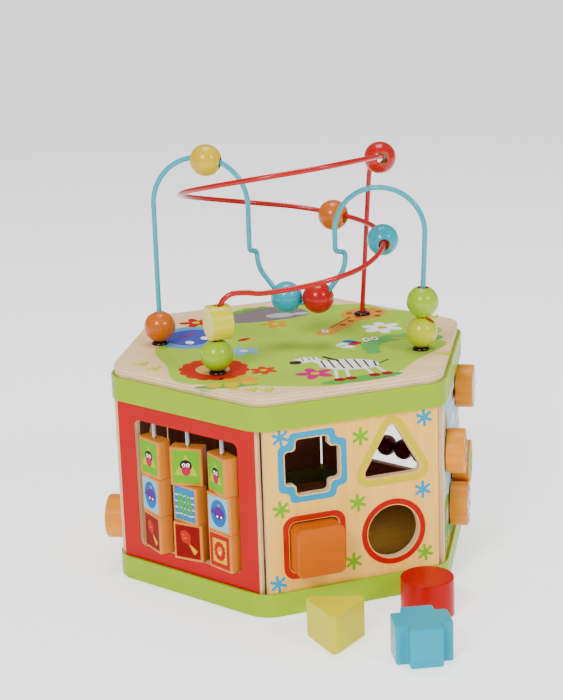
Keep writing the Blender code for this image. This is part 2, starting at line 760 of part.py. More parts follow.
def add_drum(name, centre, mat):
    """A short cylinder lying along X, bored through its curved side."""
    bm = bmesh.new()
    bmesh.ops.create_cone(bm, cap_ends=True, segments=28, radius1=DRUM_D / 2,
                          radius2=DRUM_D / 2, depth=DRUM_L,
                          matrix=Matrix.Rotation(math.pi / 2, 4, "Y"))
    rims = [e for e in bm.edges if abs(e.verts[0].co.x - e.verts[1].co.x) < 1e-6]
    bmesh.ops.bevel(bm, geom=rims, offset=0.0012, segments=2, profile=0.5,
                    affect="EDGES", material=-1)
    drum = new_object(name, bm, mat, Matrix.Translation(centre), centre)
    bore = bmesh.new()
    bmesh.ops.create_cone(bore, cap_ends=True, segments=18, radius1=BEAD_BORE / 2,
                          radius2=BEAD_BORE / 2, depth=DRUM_D * 1.2)
    cut_with(drum, bore, Matrix.Translation(centre))


def main():
    clear_scene()
    mats = {
        "wood": material("pale_wood", (0.84, 0.67, 0.42)),
        "beech": material("beech", (0.76, 0.45, 0.18)),
        "disc": material("disc_wood", (0.70, 0.36, 0.11)),
        "red": material("red_paint", (0.80, 0.04, 0.05), 0.4),
        "lime": material("lime_plastic", (0.42, 0.62, 0.02), 0.3),
        "cyan": material("cyan_paint", (0.08, 0.52, 0.66), 0.3),
        "red_bead": material("red_lacquer", (0.80, 0.04, 0.03), 0.3),
        "orange": material("orange_lacquer", (0.90, 0.23, 0.02), 0.3),
        "yellow": material("yellow_lacquer", (0.95, 0.72, 0.01), 0.3),
        "lime_bead": material("lime_lacquer", (0.50, 0.65, 0.03), 0.3),
        "black": material("black_plastic", (0.02, 0.01, 0.01), 0.3),
        "steel": material("steel", (0.62, 0.62, 0.62), 0.25),
    }
    add_housing(mats)
    add_panels(mats)
    add_picture_blocks(mats)
    add_shape_blocks(mats)
    for i, track in enumerate(TRACKS, 1):
        add_disc(f"track_disc_{i}", track, -30, mats["disc"])
    add_disc("slope_disc", SLOPE, 150, mats["disc"])
    add_abacus(mats)
    add_wires(mats)


main()
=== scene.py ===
"""Looks of a hexagonal wooden activity centre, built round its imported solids.

Metres, +Z up. The shape sorter faces -Y and the long diagonal is along X.
"""

import functools
import json
import math

import bmesh
import bpy
from mathutils import Matrix, Vector

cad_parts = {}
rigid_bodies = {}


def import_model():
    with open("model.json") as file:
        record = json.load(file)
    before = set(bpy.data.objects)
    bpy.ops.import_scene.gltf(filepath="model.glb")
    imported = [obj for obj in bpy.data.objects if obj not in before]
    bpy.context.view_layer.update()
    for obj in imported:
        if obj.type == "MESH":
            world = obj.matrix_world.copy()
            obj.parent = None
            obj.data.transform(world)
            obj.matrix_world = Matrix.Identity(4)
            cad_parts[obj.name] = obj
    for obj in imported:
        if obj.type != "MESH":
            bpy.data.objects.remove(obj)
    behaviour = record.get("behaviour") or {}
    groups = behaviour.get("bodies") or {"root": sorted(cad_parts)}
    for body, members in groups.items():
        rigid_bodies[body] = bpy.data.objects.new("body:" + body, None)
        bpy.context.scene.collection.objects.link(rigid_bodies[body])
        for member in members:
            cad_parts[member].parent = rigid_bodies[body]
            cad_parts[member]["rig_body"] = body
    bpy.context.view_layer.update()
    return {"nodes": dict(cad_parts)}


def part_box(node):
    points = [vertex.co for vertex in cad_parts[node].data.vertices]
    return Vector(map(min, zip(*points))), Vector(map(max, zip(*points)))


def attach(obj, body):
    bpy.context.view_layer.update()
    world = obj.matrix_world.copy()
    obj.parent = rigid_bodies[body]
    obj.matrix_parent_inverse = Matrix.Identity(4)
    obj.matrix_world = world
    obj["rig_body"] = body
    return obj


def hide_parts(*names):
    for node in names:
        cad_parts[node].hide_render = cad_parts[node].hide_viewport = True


bl_info = {
    "name": "Wooden activity centre",
    "version": (1, 0, 0),
    "blender": (4, 5, 0),
    "location": "3D view > Sidebar > Activity centre",
    "description": "Builds the finished looks of a wooden activity centre",
    "category": "Add Mesh",
}

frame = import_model()

FLAT = math.sqrt(3) / 2
SHARP = 1.2  # radians between two faces, above which their edge is rounded
NEARLY_ROUND = 0.999  # share of a full half circle, so that its two corners don't meet
FIT = 0.0003
LIP = 0.0020  # thickness of the trims' inner lips and floors
INNER_CORNER = 0.009
TRIM_ROUNDING = 0.0005
LID_PROUD = 0.0079  # the lid's top above the upper trim
FLOOR_T = 0.0060
PANEL_W = 0.1385
PANEL_LOW = 0.0023
PANEL_BELOW_LID = 0.0027
PRINT_HALF = 0.067  # half the printed width of a panel

WINDOW_W, WINDOW_H, WINDOW_SILL = 0.104, 0.103, 0.0300
ABACUS_W, ABACUS_H, ABACUS_MIDDLE = 0.100, 0.066, 0.067
BLOCK_TURNS = ((-12, -16, -19), (23, -3, 10), (-19, -7, -8))  # degrees, top row first

SORTER_COLUMN = 0.0320
SORTER_LOW = 0.0520
SORTER_HIGH = 0.1145
TRIANGLE_DROP = 0.0030
SQUARE, TRIANGLE, ROUND, CROSS, CROSS_ARM = 0.0380, 0.0475, 0.0400, 0.0415, 0.0240
PLAY = 0.0020  # how much wider a hole is than its block
TRIANGLE_PLAY = 0.00346

# along the panel, height, travel direction and length
TRACKS = (
    (0.038, 0.127, (-1.0, 0.0), 0.030),
    (-0.049, 0.102, (0.0, 1.0), 0.025),
    (0.003, 0.075, (1.0, 0.0), 0.042),
    (-0.020, 0.048, (-1.0, 0.0), 0.028),
)
SLOPE = (0.049, 0.040, (-0.78, 0.626), 0.100)
SLOT_W = 0.0080
SLOT_GAP = 0.0092  # width of the gap that the prints leave round a slot

BLUE_LEFT = Vector((-0.0950, 0.0410, 0.0))
BLUE_RIGHT = Vector((0.0835, -0.0665, 0.0))
RED_BACK = Vector((0.0824, 0.0499, 0.0))
RED_FRONT = Vector((-0.0795, -0.0565, 0.0))
FEET = {"blue_left": BLUE_LEFT, "blue_right": BLUE_RIGHT, "red_back": RED_BACK,
        "red_front": RED_FRONT}
WIRE_BELOW = 0.0040  # how far the wires reach below the lid
ARCH_R = 0.0375
ARCH_TOP = 0.3230
LOW_ARCH_TOP = 0.3002
LOW_ARCH_R = 0.0345
KINK_Z, KINK_R = 0.2500, 0.0038
DIP_R = 0.0270
DIP_Z = 0.1886
DIP_SET_BACK = 0.0075
SECOND_LEG = 0.1428  # along the blue wire's plane
COIL_R = 0.0785
COIL_CENTRE = Vector((-0.0030, 0.0010, 0.0))
# height of the coil every 30 degrees, clockwise from +X
COIL_Z = (0.3155, 0.3215, 0.3260, 0.3250, 0.3200, 0.3115, 0.3010, 0.2900, 0.2795,
          0.2705, 0.2645, 0.2600, 0.2565, 0.2510, 0.2440, 0.2385, 0.2330)
# how far out and how high the red wire is as it turns down into its front leg
FRONT_BEND = ((0.0245, 0.2340), (0.0140, 0.2338), (0.0080, 0.2308), (0.0043, 0.2258),
              (0.0020, 0.2165), (0.0006, 0.2060), (0.0, 0.1950))
FACES = {"block_window_panel": -150, "sorter_panel": -90, "track_panel": -30,
         "abacus_panel": 30, "back_panel": 90, "slope_panel": 150}

WHITE = (250, 250, 250)
EYE = (255, 255, 255)
EGG = (250, 220, 60)
YOLK = (250, 215, 60)
APRICOT = (246, 180, 70)
POPPY = (232, 62, 66)
PINK = (240, 84, 150)
BLAZE = (238, 92, 50)
EMBER = (236, 78, 40)
SKY = (58, 180, 226)
LEAF = (136, 200, 54)
VIOLET = (112, 62, 164)
CLOUD = (250, 252, 252)


# ---------------------------------------------------------------- settings
def linear(r, g, b):
    """A colour from its 0 to 255 display values."""
    return tuple(
        v / 12.92 if v <= 0.04045 else ((v + 0.055) / 1.055) ** 2.4
        for v in (r / 255, g / 255, b / 255)
    )


def displayed(rgb):
    """The 0 to 255 display values of a colour."""
    return tuple(round(255 * (v * 12.92 if v <= 0.0031308 else 1.055 * v ** (1 / 2.4) - 0.055))
                 for v in rgb)


def length(name, description, value):
    return bpy.props.FloatProperty(
        name=name, description=description, default=value, min=0.0, precision=4,
        subtype="DISTANCE", unit="LENGTH",
    )


def colour(name, description, r, g, b):
    return bpy.props.FloatVectorProperty(
        name=name, description=description, default=linear(r, g, b), size=3,
        min=0.0, max=1.0, subtype="COLOR",
    )


class ActivitySizes(bpy.types.PropertyGroup):
    """Sizes of the activity centre's finished pieces"""

    side: length("Side", "Centre to corner of the trims", 0.150)
    body_h: length("Body height", "Table to the top of the lid", 0.1726)
    trim_h: length("Trim height", "Height of each plastic trim", 0.0185)
    trim_wall: length("Trim wall", "Thickness of the trims' outer wall", 0.0022)
    trim_r: length("Trim corner", "Radius of the trims' corners", 0.021)
    lid_t: length("Lid thickness", "Thickness of the top board", 0.0120)
    panel_t: length("Panel thickness", "Thickness of the six panels", 0.0065)
    edge: length("Edge rounding", "Rounding of the sawn wooden edges", 0.0005)
    block_w: length("Picture block width", "Width of a picture block", 0.0260)
    block_d: length("Picture block depth", "Thickness of a picture block", 0.0120)
    block_h: length("Picture block height", "Height of a picture block", 0.0300)
    rod_d: length("Rod diameter", "Diameter of the steel rods", 0.0030)
    shape_h: length("Loose block height", "Thickness of the loose blocks", 0.0300)
    disc_d: length("Disc diameter", "Diameter of the sliding discs", 0.0346)
    disc_t: length("Disc thickness", "Thickness of the sliding discs", 0.0140)
    abacus_d: length("Abacus bead", "Diameter of an abacus bead", 0.0180)
    bead_d: length("Wire bead", "Diameter of a bead on the wires", 0.0248)
    bore_d: length("Bead bore", "Bore of a bead on the wires", 0.0090)
    drum_d: length("Drum diameter", "Diameter of the drum on the red wire", 0.0270)
    drum_l: length("Drum length", "Length of the drum on the red wire", 0.0170)
    wire_d: length("Wire diameter", "Diameter of the two bead wires", 0.0040)
    ink: length("Ink layer", "Height of one layer of a printed picture", 0.00005)


class ActivityColours(bpy.types.PropertyGroup):
    """Colours of the activity centre's finishes"""

    trim: colour("Trims", "Both plastic trims", 172, 206, 46)
    red_panel: colour("Red panels", "Paint of the two window panels", 233, 60, 62)
    panel: colour("Panel wood", "Light tone of the panels", 250, 200, 92)
    panel_grain: colour("Panel grain", "Dark tone of the panels", 240, 170, 58)
    # inside and inside_grain: a darker, browner copy of the panel wood, painted shade for the
    # dim inside of the body
    inside: colour("Inside wood", "Light tone inside the body", 196, 138, 116)
    inside_grain: colour("Inside grain", "Dark tone inside the body", 170, 112, 92)
    lid: colour("Lid wood", "Light tone of the lid", 247, 214, 166)
    lid_grain: colour("Lid grain", "Dark tone of the lid", 234, 182, 118)
    ply: colour("Ply edge", "Light layers of a sawn edge", 242, 216, 172)
    ply_dark: colour("Ply glue line", "Dark layers of a sawn edge", 205, 150, 92)
    beech: colour("Beech", "Light tone of the picture blocks", 222, 138, 44)
    beech_grain: colour("Beech grain", "Dark tone of the picture blocks", 192, 106, 26)
    disc: colour("Disc wood", "Light tone of the sliding discs", 232, 152, 40)
    disc_grain: colour("Disc grain", "Dark tone of the sliding discs", 206, 118, 22)
    orange: colour("Orange", "Orange lacquer", 246, 138, 24)
    yellow: colour("Yellow", "Yellow lacquer", 248, 212, 15)
    lemon: colour("Lemon", "Lacquer of the loose triangle and the drum", 243, 230, 10)
    cyan: colour("Cyan", "Cyan lacquer", 66, 188, 212)
    red: colour("Red", "Red lacquer", 232, 55, 46)
    green: colour("Green", "Green lacquer", 176, 212, 60)
    yellow_green: colour("Yellow-green", "Lacquer of the lower right bead", 218, 224, 20)
    blue_wire: colour("Blue wire", "Coating of the wire with two arches", 80, 190, 212)
    red_wire: colour("Red wire", "Coating of the coiled wire", 230, 58, 58)
    # abacus: a darker red than the red lacquer, painted shade on the abacus beads
    abacus: colour("Abacus beads", "Lacquer of the abacus beads", 170, 46, 36)
    grommet: colour("Grommets", "Plastic of the wires' feet", 38, 20, 20)
    island: colour("Lid meadow", "Printed meadow on the lid", 186, 220, 92)


def sizes():
    return bpy.context.scene.activity_sizes


def colours():
    return bpy.context.scene.activity_colours


def outer_face():
    """Centre of the body to the outer faces of the panels."""
    s = sizes()
    return s.side * FLAT - s.trim_wall - FIT


def face_matrix(degrees):
    """Panel space: x along the panel, y up, z out of its outer face."""
    a = math.radians(degrees)
    out = Vector((math.cos(a), math.sin(a), 0))
    along = Vector((-math.sin(a), math.cos(a), 0))
    rotation = Matrix((along, Vector((0, 0, 1)), out)).transposed().to_4x4()
    return Matrix.Translation(out * outer_face()) @ rotation


# ---------------------------------------------------------------- shapes
def outline(corners, radius=0.0, segments=6):
    """A closed outline with its corners rounded."""
    bm = bmesh.new()
    bm.faces.new([bm.verts.new((x, y, 0)) for x, y in corners])
    if radius:
        a, b, c = (Vector(corners[k]) for k in (-1, 0, 1))
        half = (a - b).angle(c - b) / 2
        bmesh.ops.bevel(bm, geom=bm.verts, offset=radius / math.tan(half),
                        segments=segments, profile=0.5, affect="VERTICES", material=-1)
    face = max(bm.faces, key=lambda f: len(f.verts))
    points = [v.co.to_2d() for v in face.verts]
    bm.free()
    return points


def rectangle(width, height, centre=(0, 0)):
    x, y = centre
    w, h = width / 2, height / 2
    return [(x - w, y - h), (x + w, y - h), (x + w, y + h), (x - w, y + h)]


def ellipse(rx, ry, centre=(0, 0), turn=0.0, steps=28):
    spin = Matrix.Rotation(math.radians(turn), 2)
    return [
        spin @ Vector((rx * math.cos(t), ry * math.sin(t))) + Vector(centre)
        for t in (2 * math.pi * k / steps for k in range(steps))
    ]


def hexagon(flat):
    r = flat / FLAT
    return [(r * math.cos(math.radians(a)), r * math.sin(math.radians(a)))
            for a in range(0, 360, 60)]


def cross(width, arm, centre=(0, 0)):
    w, a = width / 2, arm / 2
    x, y = centre
    quarter = [(w, -a), (w, a), (a, a), (a, w), (-a, w), (-a, a), (-w, a),
               (-w, -a), (-a, -a), (-a, -w), (a, -w), (a, -a)]
    return [(x + px, y + py) for px, py in quarter]


def triangle(side, centre=(0, 0)):
    h = side * FLAT
    x, y = centre
    return [(x - side / 2, y - h / 3), (x + side / 2, y - h / 3), (x, y + 2 * h / 3)]


def soft(points, cuts=6):
    """A smooth closed outline through a few points."""
    points = [Vector(p) for p in points]
    count = len(points)
    path = []
    for i in range(count):
        a, b, c, d = (points[(i + k) % count] for k in (-1, 0, 1, 2))
        path += [spline(a, b, c, d, k / cuts) for k in range(cuts)]
    return path


def spline(a, b, c, d, t):
    return 0.5 * (2 * b + (c - a) * t + (2 * a - 5 * b + 4 * c - d) * t * t
                  + (3 * b - a - 3 * c + d) * t ** 3)


def mm(points):
    """Points given in millimetres."""
    return [(x / 1000, y / 1000) for x, y in points]


def held_in(points, left, right, low):
    """An outline kept between two sides and above a base line."""
    return [(min(max(x, left), right), max(y, low)) for x, y in points]


def bar(start, end, width, segments=5):
    """A straight stroke with rounded ends."""
    start, end = Vector(start), Vector(end)
    way = (end - start).normalized()
    side = Vector((-way.y, way.x)) * (width / 2)
    reach = way * (width / 2)
    corners = [start - reach - side, end + reach - side, end + reach + side,
               start - reach + side]
    return outline(corners, width / 2 * NEARLY_ROUND, segments)


def closed_loop(bm, points):
    """A closed loop of edges through the points."""
    verts = [bm.verts.new(p) for p in points]
    return [bm.edges.new(pair) for pair in zip(verts, verts[1:] + verts[:1])]


def rounded(bm, edges, radius, segments, clamp=False):
    """Rounds a shape's edges."""
    bmesh.ops.bevel(bm, geom=edges, offset=radius, segments=segments, profile=0.5,
                    affect="EDGES", material=-1, clamp_overlap=clamp)


def is_level(edge):
    return abs(edge.verts[0].co.z - edge.verts[1].co.z) < 1e-7


def track_outline(track, width):
    x, y, way, run = track
    way = Vector(way).normalized()
    return bar((x, y), Vector((x, y)) + way * run, width, segments=8)


def filled(outer, holes=()):
    """A flat sheet with holes, facing +Z."""
    bm = bmesh.new()
    edges = []
    for loop in [outer, *holes]:
        edges += closed_loop(bm, [(*p, 0) for p in loop])
    if holes:
        bmesh.ops.triangle_fill(bm, use_beauty=True, edges=edges)
        bmesh.ops.dissolve_limit(bm, angle_limit=0.01, verts=bm.verts, edges=bm.edges)
    else:
        bm.faces.new(bm.verts)
    return bm


def plate(outer, holes, thickness, rounding=0.0, segments=2):
    """A board from z = -thickness to 0, its sharp edges rounded."""
    bm = filled(outer, holes)
    raised = bmesh.ops.extrude_face_region(bm, geom=bm.faces[:])
    moved = [v for v in raised["geom"] if isinstance(v, bmesh.types.BMVert)]
    bmesh.ops.translate(bm, verts=moved, vec=(0, 0, -thickness))
    bmesh.ops.recalc_face_normals(bm, faces=bm.faces)
    if rounding:
        rims = [e for e in bm.edges if e.calc_face_angle(0) > SHARP and is_level(e)]
        rounded(bm, rims, rounding, segments, True)
    return bm


def turned(profile, steps=48, closed=True):
    """A solid turned about z from its profile of (radius, height)."""
    bm = bmesh.new()
    verts = [bm.verts.new((r, 0, z)) for r, z in profile]
    pairs = list(zip(verts, verts[1:]))
    if closed:
        pairs.append((verts[-1], verts[0]))
    edges = [bm.edges.new(pair) for pair in pairs]
    bmesh.ops.spin(bm, geom=verts + edges, cent=(0, 0, 0), axis=(0, 0, 1),
                   dvec=(0, 0, 0), angle=2 * math.pi, steps=steps, use_merge=True,
                   use_duplicate=False)
    bmesh.ops.remove_doubles(bm, verts=bm.verts, dist=1e-7)
    bmesh.ops.dissolve_degenerate(bm, dist=1e-7, edges=bm.edges)
    bmesh.ops.recalc_face_normals(bm, faces=bm.faces)
    return bm


def bored_ball(diameter, bore, steps=40, rim=0.0005):
    """A ball with a bore along z; the bore's wall has the second finish."""
    bm = bmesh.new()
    bmesh.ops.create_uvsphere(bm, u_segments=steps, v_segments=steps // 2,
                              radius=diameter / 2)
    reach = math.sqrt(diameter ** 2 - bore ** 2) / 2
    for end in (1, -1):
        bmesh.ops.bisect_plane(bm, geom=bm.verts[:] + bm.edges[:] + bm.faces[:],
                               plane_co=(0, 0, end * reach), plane_no=(0, 0, end),
                               clear_outer=True)
    rims = [e for e in bm.edges if e.is_boundary]
    for face in bmesh.ops.bridge_loops(bm, edges=rims)["faces"]:
        face.material_index = 1
    bmesh.ops.recalc_face_normals(bm, faces=bm.faces)
    rounded(bm, [e for e in rims if e.is_valid], rim, 3)
    return bm


def stick(diameter, depth, steps=24, rounding=0.0003):
    """A round rod along z, centred, with its ends rounded."""
    bm = bmesh.new()
    bmesh.ops.create_cone(bm, cap_ends=True, segments=steps, radius1=diameter / 2,
                          radius2=diameter / 2, depth=depth)
    rounded(bm, [e for e in bm.edges if is_level(e)], rounding, 2)
    return bm


def ring(section, radius, segments=10):
    """A hexagonal ring; its section is (flat, height, corner radius)."""
    bm = bmesh.new()
    loops = [closed_loop(bm, [(*p, z) for p in outline(hexagon(flat), r, segments)])
             for flat, z, r in section]
    for near, far in zip(loops, loops[1:] + loops[:1]):
        bmesh.ops.bridge_loops(bm, edges=near + far)
    bmesh.ops.recalc_face_normals(bm, faces=bm.faces)
    rounded(bm, [e for e in bm.edges if e.calc_face_angle(0) > SHARP], radius, 2, True)
    return bm


def linked(name, data):
    """A new object in the scene."""
    obj = bpy.data.objects.new(name, data)
    bpy.context.scene.collection.objects.link(obj)
    return obj


def add(target, source, finish=None, matrix=None):
    """Adds a shape to a piece, all of it in one finish where one is given."""
    if matrix is not None:
        source.transform(matrix)
    if finish is not None:
        for face in source.faces:
            face.material_index = finish
    mesh = bpy.data.meshes.new("shape")
    source.to_mesh(mesh)
    source.free()
    target.from_mesh(mesh)
    bpy.data.meshes.remove(mesh)


def piece(name, bm, finishes, node, slot=None, even=False, sharp=38):
    """A finished object riding on its node's body; one with a slot hides the solid."""
    bmesh.ops.remove_doubles(bm, verts=bm.verts, dist=1e-6)
    bmesh.ops.recalc_face_normals(bm, faces=bm.faces)
    for edge in bm.edges:
        edge.smooth = edge.calc_face_angle(0) < math.radians(sharp)
    for face in bm.faces:
        face.smooth = True
    mesh = bpy.data.meshes.new(name)
    bm.to_mesh(mesh)
    bm.free()
    if not mesh.polygons:
        raise RuntimeError(f"{name} has no faces")
    for finish in finishes:
        mesh.materials.append(finish)
    obj = linked(name, mesh)
    if even:
        level = obj.modifiers.new("even shading", "WEIGHTED_NORMAL")
        level.keep_sharp = True
        level.weight = 80
    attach(obj, frame["nodes"][node]["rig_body"])
    if slot:
        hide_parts(node)


def carve(bm, cutter):
    """The mesh with another closed mesh cut out of it."""
    pair = []
    for label, shape in (("body", bm), ("cutter", cutter)):
        mesh = bpy.data.meshes.new(label)
        shape.to_mesh(mesh)
        shape.free()
        pair.append(linked(label, mesh))
    cut = pair[0].modifiers.new("cut", "BOOLEAN")
    cut.operation = "DIFFERENCE"
    cut.solver = "EXACT"
    cut.object = pair[1]
    result = bmesh.new()
    result.from_mesh(evaluated_mesh(pair[0]))
    for obj in pair:
        bpy.data.meshes.remove(obj.data)
    return result


def evaluated_mesh(obj):
    graph = bpy.context.evaluated_depsgraph_get()
    return bpy.data.meshes.new_from_object(obj.evaluated_get(graph))


# ---------------------------------------------------------------- printing
class Press:
    """Prints flat shapes on a face as thin closed layers, each over the last.

    Ovals, strokes, flowers and asterisks are given in millimetres.
    """

    def __init__(self, place, steps=28):
        self.bm = bmesh.new()
        self.place = place
        self.steps = steps
        self.finishes = []

    def dab(self, rgb, points, holes=(), at=(0, 0), turn=0.0, lift=0):
        """One shape in one ink, lying over all that has less lift."""
        mat = ink(rgb)
        if mat not in self.finishes:
            self.finishes.append(mat)
        thick = sizes().ink * (lift + 2)
        move = Matrix.Translation((*at, thick - sizes().ink)) @ Matrix.Rotation(
            math.radians(turn), 4, "Z")
        add(self.bm, plate(points, holes, thick), self.finishes.index(mat),
            self.place @ move)

    def spot(self, rgb, rx, ry, x=0, y=0, turn=0.0, lift=2, steps=None):
        self.dab(rgb, ellipse(rx / 1000, ry / 1000, steps=steps or self.steps),
                 at=(x / 1000, y / 1000), turn=turn, lift=lift)

    def stroke(self, rgb, start, end, width, lift=2, segments=5):
        self.dab(rgb, bar(*mm((start, end)), width / 1000, segments), lift=lift)

    def flower(self, x, y, radius, petal, heart, count=5, turn=0.0):
        r, at = radius / 1000, (x / 1000, y / 1000)
        for k in range(count):
            self.dab(petal, ellipse(r * 0.44, r * 0.27, (r * 0.56, 0), 0, 18),
                     at=at, turn=turn + 360 * k / count, lift=1 + k * 0.4)
        self.dab(heart, ellipse(r * 0.24, r * 0.24, steps=16), at=at, lift=4)

    def asterisk(self, x, y, radius, rgb, turn=30.0):
        r = radius / 1000
        for k in range(3):
            a = math.radians(turn + 60 * k)
            tip = Vector((math.cos(a), math.sin(a))) * (r * 0.84)
            self.dab(rgb, bar(-tip, tip, r * 0.34), at=(x / 1000, y / 1000), lift=0.5 * k)

    def onto(self, name, node):
        piece(name, self.bm, self.finishes, node, sharp=20)


def add_print(bm, finishes, press):
    """Adds a print to a shape, and its inks to the shape's finishes."""
    finishes += [mat for mat in press.finishes if mat not in finishes]
    order = [finishes.index(mat) for mat in press.finishes]
    for face in press.bm.faces:
        face.material_index = order[face.material_index]
    add(bm, press.bm)


# ---------------------------------------------------------------- finishes
def tones(*names):
    """Named colours of the finishes, as plain tuples."""
    return [tuple(getattr(colours(), name)) for name in names]


def plug(tree, made, inputs):
    """Sets a node's inputs to values, or links them from sockets."""
    for key, value in inputs.items():
        if isinstance(value, bpy.types.NodeSocket):
            tree.links.new(value, made.inputs[key])
        else:
            made.inputs[key].default_value = value
    return made.outputs


def node(tree, kind, inputs, **settings):
    """A new node with its settings and inputs; gives its outputs."""
    made = tree.nodes.new("ShaderNode" + kind)
    for name, value in settings.items():
        setattr(made, name, value)
    return plug(tree, made, inputs)


def noise(tree, vector, scale, detail=2.0, roughness=0.5):
    return node(tree, "TexNoise", {"Vector": vector, "Scale": scale, "Detail": detail,
                                   "Roughness": roughness})["Fac"]


def spread(tree, value, low, high):
    """The value stretched so that low becomes 0 and high becomes 1."""
    return node(tree, "MapRange", {"Value": value, "From Min": low,
                                   "From Max": high})["Result"]


def grain_nodes(tree, given):
    """Streaks along a stretched direction, and broad soft patches."""
    stretched = node(tree, "VectorMath", {0: given["Vector"], 1: given["Stretch"]},
                     operation="MULTIPLY")[0]
    return {"Streaks": spread(tree, noise(tree, stretched, 1.0, 5.0, 0.62), 0.34, 0.68),
            "Patches": spread(tree, noise(tree, given["Vector"], 22.0), 0.35, 0.7)}


def layer_nodes(tree, given):
    """Alternating layers of plywood across its thickness."""
    share = node(tree, "Math", {0: given["Depth"], 1: given["Pitch"]},
                 operation="DIVIDE")[0]
    swing = node(tree, "Math", {0: share, 1: 0.5}, operation="PINGPONG")[0]
    return {"Layers": spread(tree, swing, 0.24, 0.32)}


def coat_nodes(tree, given):
    """Slow changes of tone and a slight orange-peel height for paint and plastic."""
    return {"Tone": noise(tree, given["Vector"], 30.0),
            "Height": noise(tree, given["Vector"], given["Scale"])}


# Each group's nodes, its inputs with their kinds and values, and its outputs.
GROUPS = {
    "wood_grain": (grain_nodes, (("Vector", "Vector", (0, 0, 0)),
                                 ("Stretch", "Vector", (300, 300, 12))),
                   ("Streaks", "Patches")),
    "ply_layers": (layer_nodes, (("Depth", "Float", 0.0), ("Pitch", "Float", 0.0026)),
                   ("Layers",)),
    "uneven_coat": (coat_nodes, (("Vector", "Vector", (0, 0, 0)),
                                 ("Scale", "Float", 90.0)), ("Tone", "Height")),
}


@functools.cache
def group_tree(name):
    """A shader node group, built the first time it is used."""
    fill, inputs, outputs = GROUPS[name]
    tree = bpy.data.node_groups.new(name, "ShaderNodeTree")
    for label, kind, value in inputs:
        made = tree.interface.new_socket(name=label, in_out="INPUT",
                                         socket_type="NodeSocket" + kind)
        made.default_value = value
    for label in outputs:
        tree.interface.new_socket(name=label, in_out="OUTPUT",
                                  socket_type="NodeSocketFloat")
    start, end = tree.nodes.new("NodeGroupInput"), tree.nodes.new("NodeGroupOutput")
    plug(tree, end, fill(tree, start.outputs))
    return tree


def effect(tree, name, inputs):
    return node(tree, "Group", inputs, node_tree=group_tree(name))


def new_finish(name, roughness):
    mat = bpy.data.materials.new(name)
    mat.use_nodes = True
    shader = mat.node_tree.nodes["Principled BSDF"]
    shader.inputs["Roughness"].default_value = roughness
    return mat, mat.node_tree, shader


def placed(tree, turn=0.0):
    """Object coordinates, turned about the upright axis."""
    spot = node(tree, "TexCoord", {})["Object"]
    return node(tree, "Mapping", {"Vector": spot,
                                  "Rotation": (0, 0, math.radians(turn))})["Vector"]


def blend_tones(tree, factor, a, b):
    a, b = (v if isinstance(v, bpy.types.NodeSocket) else (*v, 1) for v in (a, b))
    return node(tree, "Mix", {0: factor, 6: a, 7: b}, data_type="RGBA")[2]


def scaled(tree, value, factor, offset=0.0):
    return node(tree, "Math", {0: value, 1: factor, 2: offset},
                operation="MULTIPLY_ADD")[0]


def bumped(tree, height, distance, strength):
    return node(tree, "Bump", {"Height": height, "Distance": distance,
                               "Strength": strength})["Normal"]


@functools.cache
def wood(name, light, dark, turn=0.0, stretch=(300, 300, 12), roughness=0.42,
         coat=0.25, deep=0.75):
    """Wood with streaks along the axis whose stretch is smallest."""
    mat, tree, shader = new_finish(name, roughness)
    grain = effect(tree, "wood_grain", {"Vector": placed(tree, turn), "Stretch": stretch})
    between = tuple((a + b) / 2 for a, b in zip(light, dark))
    tone = blend_tones(tree, scaled(tree, grain["Patches"], 0.8), light, between)
    plug(tree, shader, {
        "Base Color": blend_tones(tree, scaled(tree, grain["Streaks"], deep), tone, dark),
        "Roughness": scaled(tree, grain["Streaks"], 0.12, roughness - 0.05),
        "Normal": bumped(tree, grain["Streaks"], 0.00006, 0.35),
        "Specular IOR Level": 0.12, "Coat Weight": coat * 0.2, "Coat Roughness": 0.22,
    })
    return mat


@functools.cache
def ply(name, turn=0.0, axis="X", pitch=0.0026, stretch=(40, 40, 300)):
    """A sawn plywood edge, with its layers across one axis."""
    light, dark = tones("ply", "ply_dark")
    mat, tree, shader = new_finish(name, 0.62)
    spot = placed(tree, turn)
    depth = node(tree, "SeparateXYZ", {0: spot})[axis]
    layers = effect(tree, "ply_layers", {"Depth": depth, "Pitch": pitch})["Layers"]
    grain = effect(tree, "wood_grain", {"Vector": spot, "Stretch": stretch})
    tone = blend_tones(tree, scaled(tree, layers, 0.55), light, dark)
    tone = blend_tones(tree, scaled(tree, grain["Streaks"], 0.45), tone, dark)
    both = node(tree, "Math", {0: grain["Streaks"], 1: grain["Patches"]},
                operation="MULTIPLY")[0]
    knots = spread(tree, both, 0.93, 1.0)
    plug(tree, shader, {"Base Color": blend_tones(tree, knots, tone, linear(150, 90, 50)),
                        "Normal": bumped(tree, grain["Streaks"], 0.0001, 0.4)})
    return mat


def pigment(rgb):
    """A colour moved away from grey and, the purer it is, the deeper."""
    top, low = max(rgb), min(rgb)
    depth = 0.9 - 0.35 * (top - low) / max(top, 1e-4) * (1 - 0.5 * rgb[1] / max(top, 1e-4))
    return tuple(max(0.0, v - 0.1 * (top - v)) * depth for v in rgb)


@functools.cache
def coated(name, rgb, roughness=0.26, coat=0.25, peel=0.00004, scale=160.0, tone=0.10):
    """Paint, lacquer or plastic in one colour, slightly uneven."""
    rgb = pigment(rgb)
    mat, tree, shader = new_finish(name, roughness)
    uneven = effect(tree, "uneven_coat", {"Vector": placed(tree), "Scale": scale})
    darker = tuple(v * (1 - tone) for v in rgb)
    plug(tree, shader, {
        "Base Color": blend_tones(tree, uneven["Tone"], rgb, darker),
        "Normal": bumped(tree, uneven["Height"], peel, 0.3),
        "Specular IOR Level": 0.08 if coat < 0.1 else 0.25,
        "Coat Weight": coat, "Coat Roughness": 0.06,
    })
    return mat


